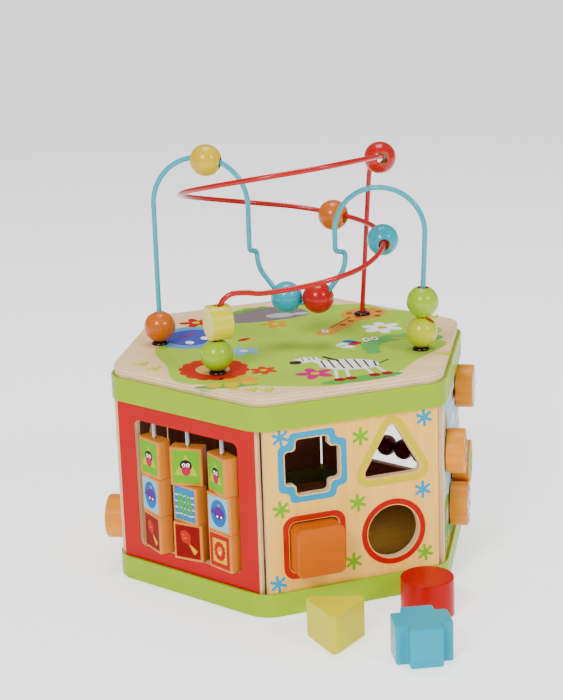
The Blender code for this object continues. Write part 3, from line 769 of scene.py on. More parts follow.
@functools.cache
def trim_plastic():
    mat = coated("lime_plastic", *tones("trim"), 0.36, 0.08, 0.00002, 60.0, 0.06)
    plug(mat.node_tree, mat.node_tree.nodes["Principled BSDF"], {
        "Subsurface Weight": 0.12, "Subsurface Radius": (1.0, 1.0, 0.35),
        "Subsurface Scale": 0.004,
    })
    return mat


def ink(rgb):
    """Screen-printing ink of a colour given by its display values."""
    return coated("ink_%02x%02x%02x" % rgb, linear(*rgb), 0.5, 0.0, 0.00001, 400.0, 0.05)


@functools.cache
def steel():
    mat, tree, shader = new_finish("steel", 0.2)
    grain = effect(tree, "wood_grain", {"Vector": placed(tree), "Stretch": (900, 900, 30)})
    plug(tree, shader, {"Base Color": (0.55, 0.55, 0.56, 1), "Metallic": 1.0,
                        "Roughness": scaled(tree, grain["Streaks"], 0.12, 0.14)})
    return mat


def panel_finishes(name, painted):
    """Outer face, inner face and sawn edge of a panel."""
    turn = -FACES[name]
    # the inner faces take the inside tones, painted shade darker than the panel wood
    inner = wood(name + "_inside", *tones("inside", "inside_grain"), turn,
                 (260, 200, 9), 0.6, 0.0)
    edge = ply(name + "_edge", turn, stretch=(300, 120, 30))
    if painted:
        face = coated("red_paint", *tones("red_panel"), 0.4, 0.08, 0.00003, 120.0, 0.06)
    else:
        face = wood(name + "_face", *tones("panel", "panel_grain"), turn,
                    (260, 150, 7), 0.45, 0.2, 0.6)
    return [face, inner, edge]


# ---------------------------------------------------------------- wires
def bent(points, radii, step=math.radians(5)):
    """A wire's path: straight runs joined by arcs of these radii."""
    path = [Vector(points[0])]
    for i in range(1, len(points) - 1):
        corner = Vector(points[i])
        before = (Vector(points[i - 1]) - corner).normalized()
        after = (Vector(points[i + 1]) - corner).normalized()
        half = before.angle(after) / 2
        r = radii[i - 1]
        centre = corner + (before + after).normalized() * (r / math.sin(half))
        start = corner + before * (r / math.tan(half))
        sweep = math.pi - 2 * half
        axis = after.cross(before).normalized()
        count = max(2, round(sweep / step))
        for k in range(count + 1):
            turn = Matrix.Rotation(sweep * k / count, 3, axis)
            path.append(centre + turn @ (start - centre))
    path.append(Vector(points[-1]))
    return path


def blue_path():
    """In the upright plane through both feet, stepping back at the dip."""
    s = sizes()
    way = (BLUE_RIGHT - BLUE_LEFT).normalized()
    back = Vector((-way.y, way.x, 0))
    span = (BLUE_RIGHT - BLUE_LEFT).length
    foot, left = s.body_h - s.lid_t - WIRE_BELOW, 0.0004
    first, dip = left + 2 * ARCH_R, DIP_SET_BACK
    mid = (first + 0.0045 + SECOND_LEG + 0.0065) / 2
    bend, reach, step = DIP_Z + 0.0453, 0.0340, KINK_Z - 0.0025
    points = [
        (left, 0, foot), (left, 0, ARCH_TOP), (first, 0, ARCH_TOP), (first, 0, KINK_Z),
        (first + 0.0040, dip, step), (mid - reach, dip, bend), (mid, dip, DIP_Z),
        (mid + reach, dip, bend), (SECOND_LEG + 0.0068, dip, step),
        (SECOND_LEG, 0, KINK_Z), (SECOND_LEG, 0, LOW_ARCH_TOP),
        (span + 0.0057, 0, LOW_ARCH_TOP), (span - 0.0008, 0, foot),
    ]
    arch, shoulder = ARCH_R * NEARLY_ROUND, 0.0240
    radii = (arch, arch, KINK_R, KINK_R, shoulder, DIP_R, shoulder, KINK_R, KINK_R,
             LOW_ARCH_R, LOW_ARCH_R)
    return bent([BLUE_LEFT + way * u + back * v + Vector((0, 0, z))
                 for u, v, z in points], radii)


def red_path():
    """Up the back leg, one and a half turns down the coil, down the front leg."""
    s = sizes()
    foot = s.body_h - s.lid_t - WIRE_BELOW
    f = RED_FRONT
    points = [RED_BACK + Vector(p) for p in (
        (0, 0, foot), (0, 0, s.body_h), (0.0040, -0.0012, 0.2350),
        (0.0075, -0.0022, 0.2870), (0.0088, -0.0048, 0.3000), (0.0085, -0.0160, 0.3085),
        (0.0040, -0.0330, 0.3122))]
    for k, z in enumerate(COIL_Z):
        a = math.radians(-30 * k)
        points.append(COIL_CENTRE + Vector((COIL_R * math.cos(a), COIL_R * math.sin(a), z)))
    last = points[-1]
    way = Vector((last.x - f.x, last.y - f.y, 0)).normalized()
    points += [f + way * out + Vector((0, 0, z)) for out, z in FRONT_BEND]
    points += [Vector((f.x, f.y, s.body_h)), Vector((f.x, f.y, foot))]
    ends = [2 * points[0] - points[1], *points, 2 * points[-1] - points[-2]]
    path = []
    for a, b, c, d in zip(ends, ends[1:], ends[2:], ends[3:]):
        path += [spline(a, b, c, d, k / 12) for k in range(12)]
    return path + [points[-1]]


def tube(path, diameter):
    """A round tube along a path, made from a curve with a round bevel."""
    curve = bpy.data.curves.new("wire", "CURVE")
    curve.dimensions = "3D"
    curve.bevel_depth = diameter / 2
    curve.bevel_resolution = 4
    curve.use_fill_caps = True
    line = curve.splines.new("POLY")
    line.points.add(len(path) - 1)
    for point, place in zip(line.points, path):
        point.co = (*place, 1)
    bm = bmesh.new()
    bm.from_mesh(evaluated_mesh(linked("wire", curve)))
    bpy.data.curves.remove(curve)
    return bm


def direction_at(path, point):
    """The path's direction at its place nearest to a point."""
    best = min(range(1, len(path) - 1), key=lambda i: (path[i] - point).length)
    return (path[best + 1] - path[best - 1]).normalized()


def turned_to(direction, centre):
    rotation = direction.to_track_quat("Z", "Y").to_matrix().to_4x4()
    return Matrix.Translation(centre) @ rotation


def middle(node):
    lo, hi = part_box(node)
    return (lo + hi) / 2


def shift(x, y, z):
    return Matrix.Translation((x, y, z))


# ---------------------------------------------------------------- operators
class ACTIVITY_OT_trims(bpy.types.Operator):
    """Builds the two plastic trims"""

    bl_idname = "activity.trims"
    bl_label = "Plastic trims"

    def execute(self, context):
        s = sizes()
        face, outer = outer_face() + FIT, s.side * FLAT
        inner = face - s.panel_t - 2 * FIT
        lip, small, big = inner - LIP, INNER_CORNER, s.trim_r
        top, shelf = s.body_h - LID_PROUD, s.body_h - s.lid_t - FIT
        low, wall_r = top - s.trim_h, big - s.trim_wall
        sections = {
            "top_trim": [
                (outer, low, big), (outer, top, big), (face, top, wall_r),
                (face, shelf, wall_r), (lip, shelf, small), (lip, low, small),
                (inner, low, small), (inner, shelf - LIP, small),
                (face, shelf - LIP, small), (face, low, small)],
            "bottom_trim": [
                (outer, 0.0, big), (outer, s.trim_h, big), (face, s.trim_h, small),
                (face, LIP, small), (inner, LIP, small), (inner, s.trim_h, small),
                (lip, s.trim_h, small), (lip, 0.0, small)],
        }
        for node, section in sections.items():
            piece(node + "_plastic", ring(section, TRIM_ROUNDING), [trim_plastic()], node,
                  "lime_plastic", True)
        return {"FINISHED"}


class ACTIVITY_OT_boards(bpy.types.Operator):
    """Builds the lid and the floor board"""

    bl_idname = "activity.boards"
    bl_label = "Lid and floor board"

    def execute(self, context):
        s = sizes()
        face = wood("lid_face", *tones("lid", "lid_grain"), 24, (14, 300, 300),
                    0.34, 0.35, 0.5)
        edge = ply("lid_edge", 0, "Z", 0.0027, (60, 60, 420))
        holes = [ellipse(0.0043, 0.0043, at.to_2d(), 0, 24) for at in FEET.values()]
        outer = outline(hexagon(outer_face() - FIT), s.trim_r - 0.0025, 10)
        bm = plate(outer, holes, s.lid_t, 0.0009, 3)
        for f in bm.faces:
            f.material_index = 0 if abs(f.normal.z) > 0.6 else 1
        bm.transform(shift(0, 0, s.body_h))
        piece("lid", bm, [face, edge], "top_board", "panel_wood", True)
        inside = hexagon(outer_face() - s.panel_t - 2 * FIT - LIP)
        bm = plate(outline(inside, INNER_CORNER, 8), [], FLOOR_T, s.edge)
        bm.transform(shift(0, 0, FLOOR_T))
        floor_wood = wood("floor_wood", *tones("panel", "panel_grain"), 0,
                          (12, 260, 260), 0.6, 0.0)
        piece("floor_panel", bm, [floor_wood], "floor_board", "panel_wood", True)
        return {"FINISHED"}


# The meadow's bulges, as an angle in degrees and a reach in millimetres.
MEADOW_BULGES = ((15, 132), (40, 126), (65, 122), (90, 114), (115, 106), (140, 116),
                 (170, 108), (210, 130), (265, 125), (290, 122), (330, 124), (350, 124))
MEADOW_DIP = 9


def meadow_outline():
    """A bulge, and a shallow dip halfway to the next one, all the way round."""
    points = []
    for k, (angle, reach) in enumerate(MEADOW_BULGES):
        after, reach_after = MEADOW_BULGES[(k + 1) % len(MEADOW_BULGES)]
        half = (after - angle) % 360 / 2
        dip = (reach + reach_after) / 2 - MEADOW_DIP
        for turn, r in ((angle, reach), (angle + half, dip)):
            points.append((r * math.cos(math.radians(turn)),
                           r * math.sin(math.radians(turn))))
    return points


class ACTIVITY_OT_lid_print(bpy.types.Operator):
    """Prints the meadow, flowers and animals on the lid"""

    bl_idname = "activity.lid_print"
    bl_label = "Printed lid"

    def execute(self, context):
        press = Press(shift(0, 0, sizes().body_h), 24)
        press.dab(displayed(colours().island), soft(mm(meadow_outline())))
        for x, y, radius, petal, heart, count in (
            (-50, 88, 14, POPPY, (250, 220, 90), 5),
            (7, 54, 12, APRICOT, (250, 225, 110), 5),
            (81, 5, 17, (250, 252, 250), (248, 208, 50), 6),
            (-14, -90, 15, PINK, YOLK, 5), (-46, -65, 11, (240, 104, 50), YOLK, 6),
            (-42, -9, 14, (150, 205, 235), (240, 245, 250), 5),
        ):
            press.flower(x, y, radius, petal, heart, count, 20)
        for picture in (self.pond, self.rock, self.sun_cat, self.striped, self.long_neck,
                        self.caterpillar, self.small_things):
            picture(press)
        press.onto("lid_print", "top_board")
        return {"FINISHED"}

    def pond(self, press):
        press.spot((128, 172, 226), 27, 32, -68, 47, -20)
        press.spot((98, 104, 196), 20, 23, -67, 47, -20, 3)
        press.spot(WHITE, 3.4, 4.6, -73, 33, lift=4)
        press.spot(WHITE, 3.4, 4.6, -58, 40, lift=4)
        press.stroke((206, 70, 80), (-74, 50), (-62, 56), 2.2, 4)

    def rock(self, press):
        press.dab((132, 116, 120), soft(mm(((-26, 76), (-20, 96), (2, 108), (26, 106),
                                            (42, 92), (44, 72), (24, 66), (-4, 67)))),
                  lift=2)
        press.spot((186, 188, 198), 12, 7, 20, 78, -10, 3)
        press.spot((186, 188, 198), 7, 4, 38, 76, -10, 3.2)
        for x, y in ((-18, 98), (-8, 103), (3, 107), (15, 108)):
            press.spot((120, 190, 60), 5, 4, x, y, 0, 3.4, 12)

    def sun_cat(self, press):
        for k in range(14):
            a = 2 * math.pi * k / 14
            press.spot(BLAZE, 7, 7, -79 + 20 * math.cos(a), -46 + 22 * math.sin(a), 0,
                       2 + 0.1 * k, 16)
        press.spot(BLAZE, 21, 23, -79, -46, 0, 3.6)
        press.spot((250, 205, 120), 13, 14, -80, -46, 0, 4.2)
        press.spot((110, 190, 80), 24, 5, -84, -90, -14)
        press.spot((250, 200, 40), 15, 8, -70, -78, -20, 3)
        for x, y in ((-92, -86), (-80, -90), (-66, -90)):
            press.spot((250, 216, 60), 6, 5, x, y, 0, 3.5, 16)

    def striped(self, press):
        coat, dark = (250, 250, 246), (62, 46, 50)
        press.spot((108, 188, 88), 33, 7, 13, -117)
        for x, foot in ((3, -3), (12, 6), (26, 25), (34, 35)):
            press.stroke(coat, (x, -88), (foot, -108), 2.6, 2.4)
            press.spot((184, 58, 66), 4.6, 4.2, foot, -113, 0, 3)
        press.spot(coat, 23, 14, 18, -79, -22, 3)
        press.stroke(coat, (2, -66), (-3, -54), 9, 3.2)
        press.spot(coat, 11, 6.5, -8, -54, 10, 3.4)
        press.spot(dark, 5, 4.6, -17, -57, 10, 3.8)
        press.stroke(dark, (8, -52), (14, -66), 3, 3.8)
        press.stroke(dark, (40, -86), (50, -80), 1.4, 3)
        for x, y, reach in ((0, -70, 9), (6, -72, 11), (12, -75, 12), (18, -78, 12),
                            (24, -80, 11), (30, -83, 9), (36, -86, 6)):
            press.stroke(dark, (x + 2, y + reach), (x - 1, y - reach), 1.5, 4)
        for x in (-9, -4, 0):
            press.stroke(dark, (x, -49), (x - 1, -56), 1.0, 4.2)

    def long_neck(self, press):
        tan, brown = (244, 176, 96), (196, 104, 60)
        press.spot(tan, 20, 17, 84, 52, 20)
        press.stroke(tan, (44, 16), (78, 44), 11, 2.3)
        press.stroke(brown, (44, 24), (70, 46), 2.0, 2.8)
        press.spot(tan, 13, 8, 38, 14, 30, 2.6)
        for x, y in ((74, 58), (90, 64), (98, 52), (76, 44), (92, 40), (66, 35), (56, 27)):
            press.spot(brown, 2.8, 3.2, x, y, 0, 3.2, 12)
        press.spot(WHITE, 3, 4, 36, 16, 0, 3.4, 16)
        press.spot((50, 34, 30), 1.2, 1.8, 36, 16, 0, 3.8, 12)

    def caterpillar(self, press):
        for k, (x, y, r) in enumerate(((48, -56, 6), (50, -46, 7), (54, -36, 8),
                                       (64, -28, 9), (76, -26, 9), (88, -28, 9),
                                       (99, -33, 8), (108, -40, 6))):
            press.spot((112, 194, 104), r, r, x, y, 0, 2 + 0.2 * k, 20)
        press.stroke((240, 190, 80), (76, -28), (98, -36), 3, 4)
        for x in (56, 63):
            press.spot((252, 252, 252), 3.2, 4.4, x, -22, 0, 4.2, 16)
            press.spot((40, 40, 40), 1.3, 1.8, x, -22, 0, 4.5, 12)

    def small_things(self, press):
        for rgb, x, y, turn in ((WHITE, 33, -27, 30), (WHITE, 35, -34, -30),
                                ((70, 130, 210), 42, -21, -40), ((226, 70, 90), 44, -28, 20)):
            press.spot(rgb, 6, 4, x, y, turn, 2.4, 16)
        press.spot((214, 70, 60), 6, 3, -31, 22, 20, 2, 16)
        press.spot((250, 205, 60), 4, 3, -25, 19, 0, 2.4, 16)
        for x, y in ((-124, -12), (-119, -28), (-80, -102), (-70, -112), (-60, -118),
                     (132, 12), (96, -90)):
            for k, lean in enumerate((-5, 0, 5)):
                press.stroke((216, 226, 50), (x, y), (x + lean, y + 8), 2.6, 0.2 + 0.3 * k)


class ACTIVITY_OT_panels(bpy.types.Operator):
    """Builds the six side panels"""

    bl_idname = "activity.panels"
    bl_label = "Side panels"

    def execute(self, context):
        column, low, high = SORTER_COLUMN, SORTER_LOW, SORTER_HIGH
        window = rectangle(WINDOW_W, WINDOW_H, (0, WINDOW_SILL + WINDOW_H / 2))
        round_r = (ROUND + PLAY) / 2
        holes = {
            "block_window_panel": [outline(window, 0.005)],
            "sorter_panel": [
                outline(cross(CROSS + PLAY, CROSS_ARM + PLAY, (-column, high)), 0.0030),
                outline(triangle(TRIANGLE + TRIANGLE_PLAY, (column, high - TRIANGLE_DROP)),
                        0.0048, 9),
                ellipse(round_r, round_r, (column, low), 0, 64),
                outline(rectangle(SQUARE + PLAY, SQUARE + PLAY, (-column, low)), 0.0060, 8),
            ],
            "track_panel": [track_outline(track, SLOT_W) for track in TRACKS],
            "abacus_panel": [outline(rectangle(ABACUS_W, ABACUS_H, (0, ABACUS_MIDDLE)),
                                     0.005)],
            "back_panel": [],
            "slope_panel": [track_outline(SLOPE, SLOT_W)],
        }
        for name, cuts in holes.items():
            self.panel(name, cuts)
        return {"FINISHED"}

    def panel(self, name, cuts):
        s = sizes()
        low, high = PANEL_LOW, s.body_h - s.lid_t - PANEL_BELOW_LID
        outer = rectangle(PANEL_W, high - low, (0, (low + high) / 2))
        bm = plate(outer, cuts, s.panel_t, s.edge)
        painted = name in ("block_window_panel", "abacus_panel")
        for f in bm.faces:
            f.material_index = 0 if f.normal.z > 0.3 else 1 if f.normal.z < -0.9 else 2
        bm.transform(face_matrix(FACES[name]))
        piece(name.replace("_panel", "_board"), bm, panel_finishes(name, painted), name,
              "red_paint" if painted else "panel_wood", True)


class ACTIVITY_OT_sorter_print(bpy.types.Operator):
    """Prints the coloured rings and stars of the shape sorter"""

    bl_idname = "activity.sorter_print"
    bl_label = "Printed shape sorter"

    def execute(self, context):
        press = Press(face_matrix(FACES["sorter_panel"]))
        column, low, high = SORTER_COLUMN, SORTER_LOW, SORTER_HIGH
        place = (-column, high)
        press.dab(SKY, outline(cross(0.0545, 0.0370, place), 0.0043),
                  [outline(cross(0.0452, 0.0277, place), 0.0038)])
        place = (column, high - TRIANGLE_DROP)
        press.dab((240, 220, 0), outline(triangle(0.0735, place), 0.0115, 10),
                  [outline(triangle(0.0540, place), 0.0056, 10)])
        press.dab((232, 50, 54), ellipse(0.0262, 0.0262, (column, low), 0, 64),
                  [ellipse(0.0217, 0.0217, (column, low), 0, 64)])
        place = (-column, low)
        press.dab((236, 84, 40), outline(rectangle(0.0500, 0.0500, place), 0.0095, 8),
                  [outline(rectangle(0.0412, 0.0412, place), 0.0066, 8)])
        for rgb, x, z, turn in (
            (SKY, -56.8, 139.5, 38), (LEAF, 6.4, 131.3, 30), (SKY, 58.0, 138.8, 35),
            (LEAF, -57.8, 83.6, 42), (LEAF, 3.2, 79.5, 35), (SKY, 56.3, 82.0, 30),
            (SKY, -62.0, 25.4, 40), (LEAF, -1.1, 33.2, 30), (LEAF, 57.6, 30.7, 38),
        ):
            press.asterisk(x, z, 7.1, rgb, turn)
        press.onto("sorter_print", "sorter_panel")
        return {"FINISHED"}


class ACTIVITY_OT_track_prints(bpy.types.Operator):
    """Prints the track, slope and back panels"""

    bl_idname = "activity.track_prints"
    bl_label = "Printed track, slope and back"

    def execute(self, context):
        self.sky_and_bank(Press(face_matrix(FACES["track_panel"])))
        self.slope(Press(face_matrix(FACES["slope_panel"])))
        self.sun_and_hill(Press(face_matrix(FACES["back_panel"])))
        return {"FINISHED"}

    def sky_and_bank(self, press):
        slots = [track_outline(track, SLOT_GAP) for track in TRACKS]
        width = 2 * PRINT_HALF
        press.dab((186, 222, 236), rectangle(width, 0.104, (0, 0.0945)), slots[:3])
        press.dab((86, 156, 66), rectangle(width, 0.0210, (0, 0.0310)))
        bank = soft(mm(((-67, 42), (-67, 62), (-50, 66), (-30, 60), (-10, 62), (12, 58),
                        (34, 64), (56, 60), (67, 63), (67, 42), (20, 42), (-20, 42))))
        press.dab((124, 186, 84), held_in(bank, -PRINT_HALF, PRINT_HALF, 0.042),
                  slots[3:], lift=1)
        borders = (WHITE, (236, 196, 130), (250, 236, 130), (236, 150, 160))
        for k, (track, slot, rgb) in enumerate(zip(TRACKS, slots, borders)):
            press.dab(rgb, track_outline(track, 0.0150), [slot], lift=2 + 0.2 * k)
        for x, z in ((-30, 140), (10, 108), (56, 98)):
            for dx, r in ((-7, 4), (0, 6), (7, 4.4)):
                press.spot(CLOUD, r, r / 1.2, x + dx, z, lift=1 + 0.1 * abs(dx))
        for x, z in ((-56, 30), (-36, 26), (24, 30), (52, 28)):
            press.flower(x, z, 6, EGG, (232, 90, 50))
        press.onto("track_print", "track_panel")

    def slope(self, press):
        press.dab((240, 130, 60), track_outline(SLOPE, 0.0190),
                  [track_outline(SLOPE, SLOT_GAP)])
        for x, z, radius, petal in ((-46, 40, 12, POPPY), (-14, 30, 9, SKY),
                                    (34, 126, 12, PINK), (56, 100, 8, APRICOT),
                                    (-58, 66, 8, LEAF)):
            press.flower(x, z, radius, petal, EGG, turn=12)
        press.onto("slope_print", "slope_panel")

    def sun_and_hill(self, press):
        sun = Vector((-0.034, 0.114))
        press.dab((250, 214, 50), ellipse(0.0210, 0.0210, sun, 0, 48))
        for k in range(12):
            a = math.radians(30 * k)
            tip = Vector((math.cos(a), math.sin(a)))
            press.dab((246, 160, 50), bar(sun + tip * 0.0250, sun + tip * 0.0300, 0.003))
        hill = soft(mm(((-67, 21), (-67, 50), (-44, 58), (-16, 50), (10, 56), (38, 64),
                        (67, 56), (67, 21))))
        press.dab(LEAF, held_in(hill, -PRINT_HALF, PRINT_HALF, 0.0205))
        for x, z, radius, petal in ((-40, 38, 11, POPPY), (0, 34, 9, WHITE),
                                    (42, 42, 12, PINK)):
            press.flower(x, z, radius, petal, EGG, turn=12)
        for x, z, rgb in ((28, 118, SKY), (52, 92, SKY), (16, 84, LEAF)):
            press.asterisk(x, z, 8.5, rgb)
        press.onto("back_print", "back_panel")


def draw_bird(press):
    press.dab((196, 216, 30), triangle(0.0190, (0, -0.0010)), lift=1)
    press.spot((52, 34, 36), 4.8, 4.6, 0, 1.2)
    press.spot((232, 28, 116), 3.7, 4.8, 0, -2.2, lift=3)
    for x in (-1.7, 1.7):
        press.spot(EYE, 1.4, 1.6, x, 1.6, 0, 4, 14)
        press.spot((30, 20, 20), 0.6, 0.8, x, 1.4, 0, 5, 10)


def draw_fish(press):
    press.spot((44, 136, 206), 8.6, 10.8, lift=1)
    press.spot(VIOLET, 6.0, 5.2, 0.8)
    press.dab(VIOLET, triangle(0.0056, (-0.0062, 0.0006)), lift=2.3)
    press.spot((196, 130, 170), 1.6, 1.2, 1, 6.6, steps=12)
    for x in (-1.2, 3.2):
        press.spot(EYE, 1.0, 1.0, x, -2.6, 0, 3, 12)


def draw_reeds(press):
    for z in (-8.4, -3.4, 1.6, 6.6):
        wave = [(x, z + 0.6 * math.sin(x * 0.9)) for x in range(-10, 11, 2)]
        for a, b in zip(wave, wave[1:]):
            press.stroke((240, 250, 252), a, b, 0.9, 1, 2)
    for x, lean, tall in ((-0.0058, -3, 0.0088), (-0.0020, 1.8, 0.0104),
                          (0.0022, -1.8, 0.0100), (0.0060, 4.2, 0.0080)):
        press.dab((98, 182, 62), ellipse(0.0014, tall, (x, 0)), turn=lean, lift=2)


def draw_comet(press):
    press.dab((238, 88, 40), soft(mm(((-6.4, 7.2), (-1.6, 9.0), (2.4, 5.4), (2.2, 0.4),
                                      (1.6, -2.6), (-1.2, -1.6), (-5.0, 0.2)))), lift=1)
    for x, z in ((-3.6, 5.6), (-1.4, 3.2), (-3.4, 2.4)):
        press.spot((250, 170, 70), 0.6, 0.6, x, z, steps=8)
    for tip in ((5.8, -9.0), (7.8, -6.6), (6.8, -8.0)):
        press.stroke((250, 206, 40), (2.0, -2.6), tip, 1.3, 2 + tip[0] * 0.05, 3)


def draw_sun(press):
    press.dab((250, 214, 30), rectangle(0.0156, 0.0190), lift=1)
    for k in range(12):
        a = 2 * math.pi * k / 12
        press.spot(EMBER, 1.8, 1.8, 4.9 * math.cos(a), 6.2 * math.sin(a), 0,
                   2 + 0.05 * k, 10)
    press.spot(EMBER, 5.0, 6.3, lift=2.8)
    press.spot((250, 190, 60), 2.8, 3.6, lift=3.4)
    press.spot(WHITE, 1.0, 1.1, 0, -1.2, 0, 4, 12)


BIRD = ((124, 192, 58), draw_bird)
FISH = ((150, 214, 236), draw_fish)
REEDS = ((48, 158, 222), draw_reeds)
COMET = ((166, 34, 52), draw_comet)
SUN = ((226, 56, 50), draw_sun)
PICTURES = ((BIRD, BIRD, BIRD), (FISH, REEDS, FISH), (COMET, COMET, SUN))  # top row first


class ACTIVITY_OT_picture_blocks(bpy.types.Operator):
    """Builds the nine turning picture blocks and their rods"""

    bl_idname = "activity.picture_blocks"
    bl_label = "Picture blocks"

    def execute(self, context):
        for column, turns in enumerate(BLOCK_TURNS, 1):
            node = f"block_rod_{column}"
            lo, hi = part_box(node)
            axis = (lo + hi) / 2
            bm = stick(sizes().rod_d, hi.z - lo.z)
            bm.transform(shift(*axis))
            piece(f"rod_{column}", bm, [steel()], node, "steel")
            for row, turn in enumerate(turns, 1):
                node = f"picture_block_{column}{row}"
                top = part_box(node)[1].z
                self.block(node, turn, Vector((axis.x, axis.y, top)), column,
                           PICTURES[row - 1][column - 1])
        return {"FINISHED"}

    def block(self, node, turn, top, column, picture):
        s = sizes()
        outer = outline(rectangle(s.block_w, s.block_d), 0.0014, 4)
        bore_r = s.rod_d / 2 + 0.0004
        bm = plate(outer, [ellipse(bore_r, bore_r, steps=20)], s.block_h, 0.0007, 3)
        face = FACES["block_window_panel"] + 90
        spin = Matrix.Rotation(math.radians(face + turn), 4, "Z")
        bm.transform(shift(*top) @ spin)
        finishes = [wood(f"beech_{column}", *tones("beech", "beech_grain"), 60,
                         (240, 240, 14), 0.42, 0.25, 0.6)]
        field, draw = picture
        for side in (0, 180):
            press = Press(shift(top.x, top.y, top.z - s.block_h / 2) @ spin
                          @ Matrix.Rotation(math.radians(side), 4, "Z")
                          @ shift(0, -s.block_d / 2, 0)
                          @ Matrix.Rotation(math.pi / 2, 4, "X"))
            press.dab(field, outline(rectangle(0.0218, 0.0262), 0.0008, 3))
            draw(press)
            add_print(bm, finishes, press)
        piece(node.replace("picture_", ""), bm, finishes, node, "block_wood")


class ACTIVITY_OT_loose_blocks(bpy.types.Operator):
    """Builds the four blocks of the shape sorter"""

    bl_idname = "activity.loose_blocks"
    bl_label = "Loose blocks"

    def execute(self, context):
        h = sizes().shape_h
        square_place = face_matrix(FACES["sorter_panel"]) @ shift(
            -SORTER_COLUMN, SORTER_LOW - PLAY / 2 + FIT, h / 2)
        for kind, outer, place, turn, tone, slot in (
            ("square", outline(rectangle(SQUARE, SQUARE), 0.0050, 8), square_place, 0,
             "orange", "orange_lacquer"),
            ("triangle", outline(triangle(TRIANGLE), 0.0040, 8),
             shift(-0.0405, -0.1868, h), 156.5, "lemon", "yellow_lacquer"),
            ("round", ellipse(ROUND / 2, ROUND / 2, steps=72),
             shift(0.0405, -0.1690, h), 0, "red", "red_lacquer"),
            ("cross", outline(cross(CROSS, CROSS_ARM), 0.0022, 5),
             shift(0.0060, -0.2355, h), -13, "cyan", "cyan_lacquer"),
        ):
            bm = plate(outer, [], h, 0.0012, 4)
            bm.transform(place @ Matrix.Rotation(math.radians(turn), 4, "Z"))
            paint = coated(f"loose_{kind}_paint", *tones(tone), 0.3, 0.06, 0.00003)
            piece(f"loose_{kind}", bm, [paint], f"shape_{kind}", slot, True)
        return {"FINISHED"}


class ACTIVITY_OT_discs(bpy.types.Operator):
    """Builds the sliding discs of the track and slope panels"""

    bl_idname = "activity.discs"
    bl_label = "Sliding discs"

    def execute(self, context):
        prints = (((172, 214, 240), (250, 250, 252)), ((250, 214, 60), (238, 110, 160)),
                  ((176, 222, 150), (112, 184, 80)), ((240, 120, 170), (250, 240, 246)))
        for i, (track, inks) in enumerate(zip(TRACKS, prints), 1):
            self.disc(f"track_disc_{i}", track, FACES["track_panel"], inks)
        self.disc("slope_disc", SLOPE, FACES["slope_panel"], None)
        return {"FINISHED"}

    def disc(self, node, track, face, inks):
        s = sizes()
        gap, neck, head, head_t = 0.0008, 0.0035, 0.0070, 0.0030
        r, back, front = s.disc_d / 2, -s.panel_t - gap, gap + s.disc_t
        bm = turned([(0, front), (r, front), (r, gap), (neck, gap), (neck, back),
                     (head, back), (head, back - head_t), (0, back - head_t)], 64, False)
        rims = [e for e in bm.edges if e.calc_face_angle(0) > SHARP
                and e.verts[0].co.to_2d().length > (neck + head) / 2]
        rounded(bm, rims, 0.0009, 3)
        place = face_matrix(face) @ shift(track[0], track[1], 0)
        bm.transform(place)
        finishes = [wood(f"disc_wood_{face}", *tones("disc", "disc_grain"), -face,
                         (20, 260, 260), 0.42, 0.3, 0.7)]
        if inks:
            press = Press(place @ shift(0, 0, front))
            press.dab(inks[0], ellipse(r * 0.90, r * 0.90, steps=56))
            press.flower(0, 0, r * 720, inks[1], inks[0], 5, 18)
            add_print(bm, finishes, press)
        piece(node.replace("_disc", "_slider"), bm, finishes, node, "disc_wood", not inks)


def bare_bore():
    return wood("bare_bore", *tones("beech", "beech_grain"))


class ACTIVITY_OT_abacus(bpy.types.Operator):
    """Builds the abacus's rods and beads"""

    bl_idname = "activity.abacus"
    bl_label = "Abacus"

    def execute(self, context):
        s = sizes()
        # the abacus beads' lacquer is darkened red, painted shade
        lacquer = coated("dark_red_lacquer", *tones("abacus"), 0.24, 0.3)
        finishes = [lacquer, bare_bore()]
        along = (face_matrix(FACES["abacus_panel"])
                 @ Matrix.Rotation(math.pi / 2, 4, "Y")).to_3x3().to_4x4()
        for label in ("low", "high"):
            node = f"abacus_rod_{label}"
            bm = stick(s.rod_d, 0.114)
            bm.transform(shift(*middle(node)) @ along)
            piece(f"abacus_bar_{label}", bm, [steel()], node, "steel")
            for i in (1, 2, 3, 4):
                node = f"abacus_bead_{label}_{i}"
                bm = bored_ball(s.abacus_d, 0.0050, 32, 0.0004)
                bm.transform(shift(*middle(node)) @ along)
                piece(f"abacus_ball_{label}_{i}", bm, finishes, node, "dark_red_lacquer",
                      sharp=60)
        return {"FINISHED"}


